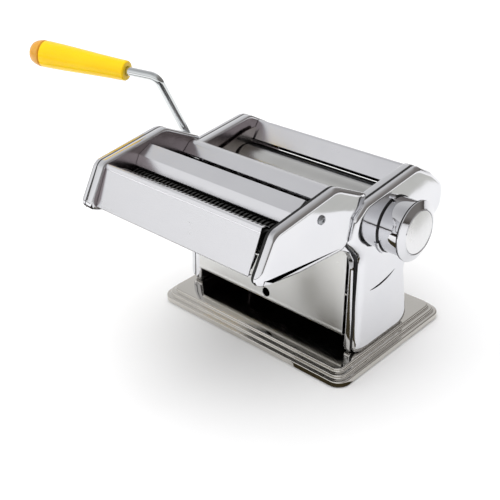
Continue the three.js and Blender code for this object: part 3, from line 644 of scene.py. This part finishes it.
# three holes in a row make the slot that the adjustable roller's journal travels in
frameHoles = [(gapAxis[0] - shift, gapAxis[1], slotReach) for shift in (0, 1, 2)]
sidePan("left_body_pan", headOutline, domeOutline, True, "frame", ["left_frame_tray"],
        [(*driveAxis, 9.7), *frameHoles])
sidePan("right_body_pan", headOutline, domeOutline, False, "frame", ["right_frame_tray"],
        [(*driveAxis, 7.7), *frameHoles])
for side in ("left", "right"):
    sidePan(f"cutter_{side}_pan", cutterOutline, cutterOutline, side == "left", "cutter",
            [f"cutter_{side}_tray"], [(*axis, 4.35) for axis in cutterAxes.values()])
    seamShadowStrip(f"{side}_body_seam", domeOutline, side == "left", "frame")
    seamShadowStrip(f"cutter_{side}_seam", cutterOutline, side == "left", "cutter")


# ---- dark crease low on the right and left covers, painted near-black as shade and dark reflection ----
print("creases")
crease = {"from": (-24.6, 65.5), "to": (6.8, 70.2), "sag": 2.2, "width": 1.05, "height": 0.3, "steps": 28}


def coverCrease(name, side):
    bm = bmesh.new()
    rows = []
    start, stop = Vector(crease["from"]), Vector(crease["to"])
    along = (stop - start).normalized()
    across = Vector((-along.y, along.x))
    face = side * outerFace
    for i in range(crease["steps"] + 1):
        t = i / crease["steps"]
        swell = math.sin(math.pi * min(max(t, 0.01), 0.99)) ** 0.6
        middle = start.lerp(stop, t) - across * crease["sag"] * 4 * t * (1 - t)
        row = []
        for k in range(7):
            s = k / 6 * 2 - 1
            point = middle + across * s * crease["width"] * swell
            rise = crease["height"] * swell * (1 - s * s) - 0.02
            row.append(bm.verts.new((face + side * rise, point.x, point.y)))
        row.append(bm.verts.new((face - side * 0.3, middle.x, middle.y)))
        rows.append(row)
    skinAll(bm, rows)
    bm.faces.new(rows[0])
    bm.faces.new(rows[-1][::-1])
    return keep(name, bm, grooveShadeSteel, "frame", sharpAngle=math.radians(60))


coverCrease("right_cover_crease", 1)
coverCrease("left_cover_crease", -1)


# ---- base ----
print("base")
base = {"steps": [(0, 5.6), (3.4, 8.8), (7, 12)], "corner": 11, "round": 1.7, "arc": 6, "thick": 1.2}
baseLow, baseHigh = sizeOf("base_plate")


def baseLoop(bm, inset, z):
    halfX, halfY = baseHigh.x - inset, baseHigh.y - inset
    corner = max(base["corner"] - inset * 0.6, 2)
    outline = roundedOutline([(-halfX, -halfY, corner), (halfX, -halfY, corner),
                              (halfX, halfY, corner), (-halfX, halfY, corner)], 0, 6)
    return [bm.verts.new((p.x, p.y, z)) for p in outline]


def drawnBase():
    # each step of the deep-drawn plate rolls over at its edge and runs into the next in a fillet
    corners = [(0, baseLow.z)]
    for (inset, top), following in zip(base["steps"], base["steps"][1:] + [None]):
        corners.append((inset, top))
        if following:
            corners.append((following[0], top))
    corners.append((base["steps"][-1][0] + 9, base["steps"][-1][1]))
    outside = arcPath(corners, base["round"], base["arc"])
    bm = bmesh.new()
    loops = [baseLoop(bm, p.x, p.y) for p in outside]
    thick = base["thick"]
    inner = [(thick, baseLow.z)]
    for (inset, top), following in zip(base["steps"], base["steps"][1:] + [None]):
        inner.append((inset + thick, top - thick))
        if following:
            inner.append((following[0] + thick, top - thick))
    under = [baseLoop(bm, *p) for p in inner]
    skinAll(bm, loops)
    bm.faces.new(loops[-1])
    skin(bm, under[0], loops[0])
    skinAll(bm, under)
    bm.faces.new(under[-1][::-1])
    return keep("drawn_base_plate", bm, baseChrome, "frame", ["base_plate"],
                math.radians(40))


drawnBase()


# ---- folded sheets of the body ----
print("folded sheets")
coverReach = rollerRadius + 5.42
coverLip = (gapAxis[0] + 0.611 * coverReach, gapAxis[1] + 0.792 * coverReach)
sheets = {
    "chute_sheet": {"path": [(-37, 26.4), (-39.6, 28), (-39, 31), (-34, 96), (-33.4, 104), (-36.6, 110)],
                    "fold": 6, "outsideIsLeft": True, "node": "front_chute_panel", "material": chuteChrome},
    "front_top_sheet": {"path": [(-20.6, 132.4), (-29.4, 135.6), (-33, 132), (-39, 118), (-38.2, 112.2)],
                        "fold": 2.5, "node": "front_cover", "material": shellChrome},
    "hopper_slope": {"path": [(67.2, 103), (67.2, 117), (66.4, 119), (50.6, 133.2), (42.4, 139.4),
                              (40.6, 138.6), coverLip],
                     "fold": 1.6, "node": "rear_cover", "material": plateChrome},
    "rear_sheet": {"path": [(26.6, 13), (19.4, 67), (21.8, 70), (59, 95.2), (67.2, 101)],
                   "fold": 3, "node": "rear_panel", "material": shellChrome},
}
for name, values in sheets.items():
    bentSheet(name, {**values, "thick": 1.0, "half": between}, values["material"], "frame",
              [values["node"]])
for face in bpy.data.objects["hopper_slope"].data.polygons:
    if face.center.y < (coverLip[0] + 0.6) * mm:
        face.material_index = 1      # the folded lip over the roller slot gets painted shade, near-black like the dark slot under it

# the round hole for the table clamp
clamp = {"z": 34, "radius": 4.0, "y": -39.6, "depth": 20}
chute = bpy.data.objects["chute_sheet"]
finishMesh(chute)
cutWith(chute, roundTool((0, clamp["y"], clamp["z"]), clamp["radius"], clamp["depth"], "X", 48))
chute.data.set_sharp_from_angle(angle=creaseAngle)


# ---- dough guards at the roller ends ----
print("dough guards")
guard = {"inner": 75.6, "thick": 1.0, "clear": rollerRadius + 0.5, "reach": (70, 80), "post": 1.8,
         "posts": ((5, 128), (27.5, 130.5))}
guardOutline = [
    (-17.5, 123.5, 1), (-2, 113, 1), (12, 113, 1), (29, 118, 2), (29.2, 125.5, 2), (36.6, 136.2, 2),
    (22, 135.6, 8), (-9, 129, 10),
]


def doughGuard(name, side, node):
    bm = bmesh.new()
    outline = roundedOutline(guardOutline, 0, 8)
    faces = [loopAt(bm, outline, side * x) for x in (guard["inner"], guard["inner"] + guard["thick"])]
    skin(bm, *faces)
    for face in faces:
        bm.faces.new(face)
    piece = keep(name, bm, guardSteel, "frame", [node])
    low, high = sorted(side * x for x in guard["reach"])
    drill(piece, [(low, high, driveAxis[0], driveAxis[1], guard["clear"]),
                  (low, high, gapAxis[0], gapAxis[1], guard["clear"]),
                  (low, high, gapAxis[0] - 2, gapAxis[1], guard["clear"])], 96)
    for i, (y, z) in enumerate(guard["posts"]):
        x0, x1 = sorted((side * (guard["inner"] + 0.2), side * between))
        post = [(x0, 0), (x0, guard["post"]), (x1, guard["post"]), (x1, 0)]
        turned(f"{name}_post_{i + 1}", post, innerSteel, "frame", sides=32,
               place=Matrix.Translation((0, y, z)))
    return softEdges(piece, 0.25, 2, 50)


doughGuard("left_dough_guard", -1, "left_end_guard")
doughGuard("right_dough_guard", 1, "right_end_guard")


# ---- smooth rollers ----
print("rollers")
rollerHalf = 76.6
socketEnd = -driveLow.x
roller = {"edge": 0.8, "journal": 5, "socket": 7, "socketBore": 4.4, "socketDepth": 13.8}
floorOfSocket = -socketEnd + roller["socketDepth"]
rollerEnd = [(-rollerHalf, rollerRadius), (rollerHalf, rollerRadius), (rollerHalf, roller["journal"])]
mouth = (-socketEnd, roller["socketBore"])
driveProfile = [(floorOfSocket, 0.0), (floorOfSocket, roller["socketBore"]), mouth]
driveProfile += softProfile([
    mouth, (-socketEnd, roller["socket"]), (-rollerHalf, roller["socket"]), *rollerEnd,
    (driveHigh.x, roller["journal"]), (driveHigh.x, 0)], roller["edge"])[1:]
turned("front_smooth_roller", driveProfile, rollerSteel, "drive", ["drive_roller"],
       place=Matrix.Translation((0, *driveAxis)))
turned("rear_smooth_roller", softProfile([
    (gapLow.x, 0), (gapLow.x, roller["journal"]), (-rollerHalf, roller["journal"]), *rollerEnd,
    (gapHigh.x, roller["journal"]), (gapHigh.x, 0)], roller["edge"]), rollerSteel, "rear_roller",
    ["adjustable_roller"], place=Matrix.Translation((0, *gapAxis)))


# ---- knob ----
print("knob")
knobLow, knobHigh = sizeOf("knob")
ringLow, ringHigh = sizeOf("knob_ring")
knob = {"drum": 21.5, "rim": (knobHigh.z - knobLow.z) / 2, "face": 16.9, "flange": 4.0, "groove": 0.9,
        "grooveDepth": 1.1, "bore": 4.55, "web": 2.0, "skirt": 20.85, "recess": 2.2, "cone": 3.1}
front, back, skirtLow = knobHigh.x, knobLow.x, ringLow.x + 0.6
onKnob = Matrix.Translation((0, *knobAxis))
flangeBack = front - knob["flange"]
grooveBack = flangeBack - knob["groove"]
grooveFloor = knob["drum"] - knob["grooveDepth"]
recessFloor = front - knob["recess"]
cup = knob["face"] - 1.2
turned("knob_body", softProfile([
    (back, knob["bore"]), (back, knob["skirt"]), (skirtLow, knob["skirt"]), (skirtLow, knob["drum"] - 0.2),
    (skirtLow + 0.2, knob["drum"]), (grooveBack, knob["drum"]), (grooveBack, grooveFloor),
    (flangeBack, grooveFloor), (flangeBack, knob["rim"]), (front - knob["cone"], knob["rim"]),
    (front - 0.7, knob["face"] + 0.9), (front, knob["face"] + 0.5), (front - 0.5, knob["face"]),
    (recessFloor, knob["face"]), (recessFloor, cup), (back + knob["web"], cup),
    (back + knob["web"], knob["bore"]), (back, knob["bore"]),
], 0.45), knobChrome, "knob", ["knob"], 128, onKnob)
disc = {"back": front - 2.1, "front": front - 0.45, "radius": knob["face"] - 0.25}
turned("knob_flat_disc", softProfile([
    (disc["back"], 0), (disc["back"], disc["radius"]), (disc["front"], disc["radius"]),
    (disc["front"], 0)], 0.3), faceChrome, "knob", ["knob_face"], 128, onKnob)
# a near-black ring filling the knob's groove: painted shadow in the groove
band = {"back": grooveBack + 0.05, "front": flangeBack - 0.05, "inner": knob["drum"] - 1.0,
        "outer": knob["rim"] - 0.1}
turned("knob_groove_shadow_fill", [
    (band["back"], band["inner"]), (band["back"], band["outer"]), (band["front"], band["outer"]),
    (band["front"], band["inner"]), (band["back"], band["inner"])],
    seamShadowBlack, "knob", (), 128, onKnob)
ring = {"pin": 15.5, "half": 1.8, "depth": 3.0}
slotOuter, slotInner = ring["pin"] + ring["half"], ring["pin"] - ring["half"]
slotFloor = ringHigh.x - ring["depth"]
turned("knob_collar", softProfile([
    (ringLow.x, knob["bore"]), (ringLow.x, knob["skirt"] - 0.3), (ringHigh.x, knob["skirt"] - 0.3),
    (ringHigh.x, slotOuter), (slotFloor, slotOuter), (slotFloor, slotInner), (ringHigh.x, slotInner),
    (ringHigh.x, knob["bore"]), (ringLow.x, knob["bore"])], 0.4), knobChrome, "frame",
    ["knob_ring"], 128, onKnob)
# a near-black ring at the collar's foot: painted shadow line where the collar meets the cover
line = {"foot": outerFace + 0.02, "step": ringLow.x - 0.02, "front": ringLow.x + 0.5,
        "inner": knob["drum"] - 1.2, "lip": knob["drum"] + 0.05, "outer": knob["drum"] + 0.8}
turned("knob_back_shadow_line", [
    (line["foot"], line["inner"]), (line["foot"], line["outer"]), (line["front"], line["outer"]),
    (line["front"], line["lip"]), (line["step"], line["lip"]), (line["step"], line["inner"]),
    (line["foot"], line["inner"])], seamShadowBlack, "frame", (), 128, onKnob)

# the index stud above the collar and the small hook below it
stud = {"radius": 1.3, "length": 2.6, "above": 23.4, "angle": 100}
studAngle = math.radians(stud["angle"])
studPlace = Matrix.Translation((0, knobAxis[0] + stud["above"] * math.cos(studAngle),
                                knobAxis[1] + stud["above"] * math.sin(studAngle)))
turned("index_stud", softProfile([
    (outerFace - 0.1, 0), (outerFace - 0.1, stud["radius"]), (outerFace + stud["length"], stud["radius"]),
    (outerFace + stud["length"], 0)], 0.6), knobChrome, "frame", (), 40, studPlace)
hook = {"radius": 23.2, "wire": 0.9, "lift": 1.0, "degrees": range(196, 232, 4)}
hookPath = [Vector((outerFace + hook["lift"], knobAxis[0] + hook["radius"] * math.cos(math.radians(a)),
                    knobAxis[1] + hook["radius"] * math.sin(math.radians(a)))) for a in hook["degrees"]]
sweep("index_hook", hookPath, hook["wire"], knobChrome, "frame", sides=20)

spring = {"turns": 4.5, "wire": 0.5, "radius": 6.1, "steps": 160, "travel": 3.0}
springLow, springHigh = sizeOf("knob_spring")
springLength = springHigh.x - springLow.x
coil = []
for i in range(spring["steps"] + 1):
    t = i / spring["steps"]
    angle = 2 * math.pi * spring["turns"] * t
    x = springLow.x + spring["wire"] + (springLength - 2 * spring["wire"]) * t
    coil.append(Vector((x, knobAxis[0] + spring["radius"] * math.cos(angle),
                        knobAxis[1] + spring["radius"] * math.sin(angle))))
springPiece = sweep("knob_coil_spring", coil, spring["wire"], innerSteel, "adjuster",
                    ["knob_spring"], 12)
# the knob's web pushes the spring together as the knob is pulled
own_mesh(springPiece)


# ---- crank ----
print("crank")
crank = {"rest": 23.2, "foot": (-6.5, 0, 0), "top": (-12.5, 0, 92.4), "line": (-112.7, -32.2, 25.6),
         "setOff": 27, "rod": 3.5, "bend": 6.5, "hexEnd": 13.4, "hex": 3.7}
toWorld = Matrix.Translation((0, *driveAxis)) @ Matrix.Rotation(math.radians(crank["rest"]), 4, "X")
foot = Vector((-outerFace, 0, 0)) + Vector(crank["foot"])
top = Vector((-outerFace, 0, 0)) + Vector(crank["top"])
gripLine = Vector(crank["line"]).normalized()
gripStart = top + gripLine * crank["setOff"]
gripLength = 90
gripStop = gripStart + gripLine * gripLength
rodEnd = Vector((-socketEnd + crank["hexEnd"] - 8, 0, 0))
corners = [rodEnd, foot, top, gripStop - gripLine * 4]


def bentRod(corners, bend, steps=12):
    points = [corners[0]]
    for i in range(1, len(corners) - 1):
        into = (corners[i] - corners[i - 1]).normalized()
        away = (corners[i + 1] - corners[i]).normalized()
        start, stop = corners[i] - into * bend, corners[i] + away * bend
        for k in range(steps + 1):
            t = k / steps
            points.append(start * (1 - t) ** 2 + corners[i] * 2 * t * (1 - t) + stop * t * t)
    points.append(corners[-1])
    return points


rodLine = [toWorld @ p for p in bentRod(corners, crank["bend"])]
sweep("crank_arm_rod", rodLine, crank["rod"], rodChrome, "crank", ["crank_rod"], 40)
hexEnd = -socketEnd + crank["hexEnd"]
hexProfile = [(hexEnd - 9, 0), (hexEnd - 9, crank["hex"]), (hexEnd - 0.6, crank["hex"]),
              (hexEnd, crank["hex"] - 0.6), (hexEnd, 0)]
softEdges(turned("crank_hexagon", hexProfile, rodChrome, "crank", sides=6, place=toWorld),
          0.15, 2)

# the grip: waisted at the rod, fuller at its far end, with a ring groove before the end cap
gripTurn = Vector((1, 0, 0)).rotation_difference(gripLine).to_matrix().to_4x4()
onGrip = toWorld @ Matrix.Translation(gripStart) @ gripTurn
grip = {"neck": 8.2, "fat": 11.0, "cap": 11.0, "bore": 3.85, "steps": 40}


def gripRadius(t):
    # t runs from the rod's end of the yellow body, 0, to the cap, 1
    swell = t * t * (3 - 2 * t)
    return grip["neck"] + (grip["fat"] - grip["neck"]) * (0.35 * t + 0.65 * swell)


bodyLength = gripLength - grip["cap"]
gripProfile = [(0, grip["bore"]), (0.0, grip["neck"] - 1.6), (0.3, grip["neck"] - 0.7),
               (1.0, grip["neck"] - 0.15)]
for i in range(1, grip["steps"]):
    t = 0.02 + 0.97 * i / grip["steps"]
    gripProfile.append((bodyLength * t, gripRadius(t)))
gripProfile += [(bodyLength - 0.5, grip["fat"] - 0.1), (bodyLength - 0.1, grip["fat"] - 0.7),
                (bodyLength, grip["fat"] - 1.4), (bodyLength, grip["bore"]), (0, grip["bore"])]
turned("yellow_grip", gripProfile, gripPlastic, "grip", ["crank_grip"], 96, onGrip)
capStart = bodyLength + 0.3
capProfile = [(capStart, grip["bore"]), (capStart, grip["fat"] - 1.6), (capStart + 0.3, grip["fat"] - 0.7),
              (capStart + 1.0, grip["fat"] - 0.05)]
for i in range(1, 16):
    turn = math.pi / 2 * i / 16
    capProfile.append((capStart + 1.2 + (gripLength - capStart - 1.2) * math.sin(turn) ** 1.6,
                       4.0 + (grip["fat"] - 4.0) * math.cos(turn) ** 0.55))
capProfile += [(gripLength, 3.0), (gripLength, 0), (gripLength - 3, 0), (gripLength - 3, grip["bore"]),
               (capStart, grip["bore"])]
turned("grip_end_button", capProfile, capPlastic, "grip", ["grip_end_cap"], 96, onGrip)


# ---- cutter unit ----
print("cutter unit")
cutterSheets = {
    "cutter_front_sheet": {"path": [(-120.6, 154.6), (-123.4, 155.4), (-124.9, 152.4), (-125.0, 151.7),
                                    (-137.7, 126.9), (-138.4, 125.6), (-134.6, 124.2)],
                           "fold": 1.2, "node": "cutter_front_plate"},
    "cutter_mid_sheet": {"path": [(-79.8, 156.4), (-80.5, 158.2), (-92.5, 152.6), (-96.9, 145),
                                  (-95.4, 142)],
                         "fold": 0.9, "node": "cutter_mid_roof"},
    "cutter_rear_sheet": {"path": [(-23.4, 138.8), (-29.6, 143.2), (-33.4, 145.7), (-37.4, 146.6),
                                   (-40.6, 145.6), (-47.8, 139.5)], "fold": 2.5, "node": "cutter_rear_roof"},
}
for name, values in cutterSheets.items():
    bentSheet(name, {**values, "thick": 1.0, "half": between}, plateChrome, "cutter",
              [values["node"]])


def discRoller(name, node, body, values):
    # a turned roller with square discs as wide as the noodle, a fine chamfer on every disc
    low, high = sizeOf(node)
    y, z = cutterAxes[name.replace("_discs", "")]
    half, noodle, journal, gap = rollerHalf, values["noodle"], 4.0, 0.12
    tip, groove, edge = values["tip"], values["groove"], values["edge"]
    discs = math.floor((half / noodle + (0.5 if values["startsWithDisc"] else 1)) / 2)
    count = 2 * discs - 1 if values["startsWithDisc"] else 2 * discs
    profile = [(low.x, 0), (low.x, journal), (-half, journal), (-half, groove)]
    for i in range(count):
        x = (2 * i - count + 0.5) * noodle
        if x < -half or x + noodle > half:
            continue
        x0, x1 = x + gap, x + noodle - gap
        profile += [(x0, groove), (x0, tip - edge), (x0 + edge, tip), (x1 - edge, tip), (x1, tip - edge),
                    (x1, groove)]
    profile += [(half, groove), (half, journal), (high.x, journal), (high.x, 0)]
    return turned(name, profile, values["steel"], body, [node], values["sides"],
                  Matrix.Translation((0, y, z)), {"half": half, "below": tip - 0.3, "finish": grooveShadeSteel})


for kind, noodle, sides in (("thin", 2.0, 40), ("wide", 6.5, 56)):
    for end in ("front", "rear"):
        # every roller but the thin front one gets the dark steel as painted shade
        discRoller(f"{kind}_{end}_discs", f"{kind}_{end}_cutter_roller", f"{kind}_{end}", {
            "steel": cutterSteel if (kind, end) == ("thin", "front") else shadedCutterSteel,
            "noodle": noodle, "tip": 9.6, "groove": 7.9, "edge": 0.12, "startsWithDisc": end == "front",
            "sides": sides})


screw = {"shank": 1.6, "sunk": 5.2, "head": 3.4, "rim": 0.7, "crown": 1.9, "top": 2.0,
         "slot": (1.6, 3.6, 0.75), "turned": 20}


def crossScrew(name, side, node):
    # a pan-head screw with a cross recess
    y, z = axisOf(node)
    head = outerFace + 0.02
    piece = turned(name, softProfile([
        (head - screw["sunk"], 0), (head - screw["sunk"], screw["shank"]), (head, screw["shank"]),
        (head, screw["head"]), (head + screw["rim"], screw["head"]), (head + screw["crown"], screw["top"]),
        (head + screw["crown"], 0)], 0.35), innerSteel, "cutter", [node], 64,
        Matrix.Translation((0, y, z)))
    for turn in (0, 90):
        bm = bmesh.new()
        bmesh.ops.create_cube(bm, size=1, matrix=Matrix.Translation(Vector((head + 1.8, y, z)) * mm)
                              @ Matrix.Rotation(math.radians(screw["turned"] + turn), 4, "X")
                              @ Matrix.Diagonal((*(size * mm for size in screw["slot"]), 1)))
        cutWith(piece, bm)
    if side < 0:
        piece.data.transform(Matrix.Diagonal((-1, 1, 1, 1)))
        piece.data.flip_normals()
    piece.data.set_sharp_from_angle(angle=math.radians(30))
    return piece


crossScrew("right_cross_screw", 1, "right_cap_screw")
crossScrew("left_cross_screw", -1, "left_cap_screw")


# ---- CAD nodes that stay, with their own finishes ----
print("finishes of the carried-over pieces")
keptFinishes = {
    hardboard: ["base_board"],
    matRubber: ["anti_slip_mat"],
    bushNylon: ["left_drive_bush", "right_drive_bush"],
    gearSteel: ["drive_gear", "driven_gear", *[f"{end}_cutter_gear" for end in cutterAxes]],
    shellChrome: ["cutter_rear_plate"],
    cutterSteel: ["thin_comb", "wide_comb"],
    innerSteel: ["left_cutter_rail", "right_cutter_rail", "front_scraper", "rear_scraper", "tie_rod_front",
                 "tie_rod_rear", "tie_rod_lower", "left_yoke_arm", "right_yoke_arm", "yoke_bar",
                 "adjuster_cam_shaft", "stop_pin", "thin_crank_socket", "wide_crank_socket"],
}
for material, names in keptFinishes.items():
    for name in names:
        node = cadNodes[name]
        node.data.materials.clear()
        node.data.materials.append(material)
        if name not in ("base_board", "anti_slip_mat"):
            softEdges(node, 0.12, 2, 28)


# ---- floor, studio and light ----
print("studio")
studio = {"floor": 12.0, "floorColour": ("#f8f8f8", "#fdfdfd"), "over": 105, "overSize": 5.0, "side": 10,
          "sideSize": 1.2}
bm = bmesh.new()
bmesh.ops.create_grid(bm, x_segments=8, y_segments=8, size=studio["floor"] / 2)
floor = newObject("floor", bm)
floorMaterial, tree, shader, place = newMaterial("pale_sweep")
shade = addNode(tree, "ShaderNodeTexNoise", {"Scale": 1.5}, {"Vector": place})
tree.links.new(colourBetween(tree, shade.outputs["Fac"], *studio["floorColour"]), shader.inputs["Base Color"])
shader.inputs["Roughness"].default_value = 0.9
floor.data.materials.append(floorMaterial)


def softbox(name, place, aim, side, watts):
    # a square area lamp that doesn't show in the metal
    light = bpy.data.objects.new(name, bpy.data.lights.new(name, "AREA"))
    light.data.shape = "RECTANGLE"
    light.data.size = light.data.size_y = side
    light.data.energy = watts
    light.location = place
    light.rotation_mode = "QUATERNION"
    light.rotation_quaternion = (Vector(aim) - Vector(place)).to_track_quat("-Z", "Y")
    light.visible_glossy = False
    bpy.context.scene.collection.objects.link(light)


middle = (0.0, -0.03, 0.1)
softbox("overhead", (0.0, 0.0, 3.0), middle, studio["overSize"], studio["over"])
softbox("side_left", (-1.6, -1.2, 1.2), middle, studio["sideSize"], studio["side"])

# cards round the machine, seen only in the polished metal
cards = {
    "olive_floor_card": {"corners": [(84, -38, 0.6), (-60, -182, 0.6), (-32, -214, 0.6), (116, -66, 0.6)],
                         "colours": ("#2c2414", "#4f4526")},
    "brown_hung_card": {"corners": [(-300, -146, 80), (90, -146, 80), (90, -146, 124), (-300, -146, 124)],
                        "colours": ("#1d140c", "#34261a")},
    "grey_floor_card": {"corners": [(238, 168, 0.6), (560, 168, 0.6), (560, 460, 0.6), (238, 460, 0.6)],
                        "colours": ("#b4b4af", "#c6c6c2")},
}
for name, values in cards.items():
    bm = bmesh.new()
    bm.faces.new([bm.verts.new(Vector(corner) * mm) for corner in values["corners"]])
    card = newObject(name, bm)
    material, tree, shader, place = newMaterial(name)
    felt = noiseOf(tree, place, 14, 3.0)
    tree.links.new(colourBetween(tree, felt, *values["colours"]), shader.inputs["Base Color"])
    shader.inputs["Roughness"].default_value = 1.0
    card.data.materials.append(material)
    card.visible_camera = card.visible_diffuse = card.visible_shadow = False

world = bpy.data.worlds.new("studio")
bpy.context.scene.world = world
world.use_nodes = True
tree = world.node_tree
background = tree.nodes["Background"]
way = addNode(tree, "ShaderNodeTexCoord").outputs["Generated"]
part = addNode(tree, "ShaderNodeSeparateXYZ", links={"Vector": way})


def skyRamp(stops):
    # colours by height above the horizon in degrees
    climb = addNode(tree, "ShaderNodeMapRange", {"From Min": -1.0, "From Max": 1.0},
                    {"Value": part.outputs["Z"]})
    made = addNode(tree, "ShaderNodeValToRGB", links={"Fac": climb.outputs[0]})
    ramp = made.color_ramp
    while len(ramp.elements) < len(stops):
        ramp.elements.new(0.5)
    # the places first, because the elements sort themselves as they move
    for element, (degrees, _) in zip(ramp.elements, stops):
        element.position = (math.sin(math.radians(degrees)) + 1) / 2
    for element, (_, colour) in zip(ramp.elements, stops):
        element.color = toLinear(colour)
    return made.outputs["Color"]


openSky = skyRamp([(-90, "#8a8781"), (-2, "#8a8781"), (0, "#4c4845"), (3, "#5b5753"), (5.5, "#ffffff"),
                   (14, "#ffffff"), (28, "#ebebec"), (51, "#e3e3e4"), (90, "#bcbcbe")])
darkSky = skyRamp([(-90, "#8a8781"), (-2, "#6a6661"), (0, "#57524e"), (6, "#8a8683"), (30, "#908b88"),
                   (50, "#bdbbb9"), (90, "#bcbcbe")])
across = addNode(tree, "ShaderNodeVectorMath", {"operation": "DOT_PRODUCT", 1: (0.78, 0.62, 0.0)}, {0: way})
turnAway = addNode(tree, "ShaderNodeMapRange",
                   {"From Min": 0.25, "From Max": 0.6, "interpolation_type": "SMOOTHSTEP"},
                   {"Value": across.outputs["Value"]})
sky = addNode(tree, "ShaderNodeMix", {"data_type": "RGBA"}, {0: turnAway.outputs[0], 6: openSky, 7: darkSky})
toFront = addNode(tree, "ShaderNodeMapRange",
                  {"From Min": -0.9, "From Max": -0.45, "To Min": 1.12, "To Max": 0.86},
                  {"Value": part.outputs["Y"]})
tree.links.new(sky.outputs[2], background.inputs["Color"])
tree.links.new(toFront.outputs[0], background.inputs["Strength"])
bpy.context.scene.view_settings.view_transform = "Standard"
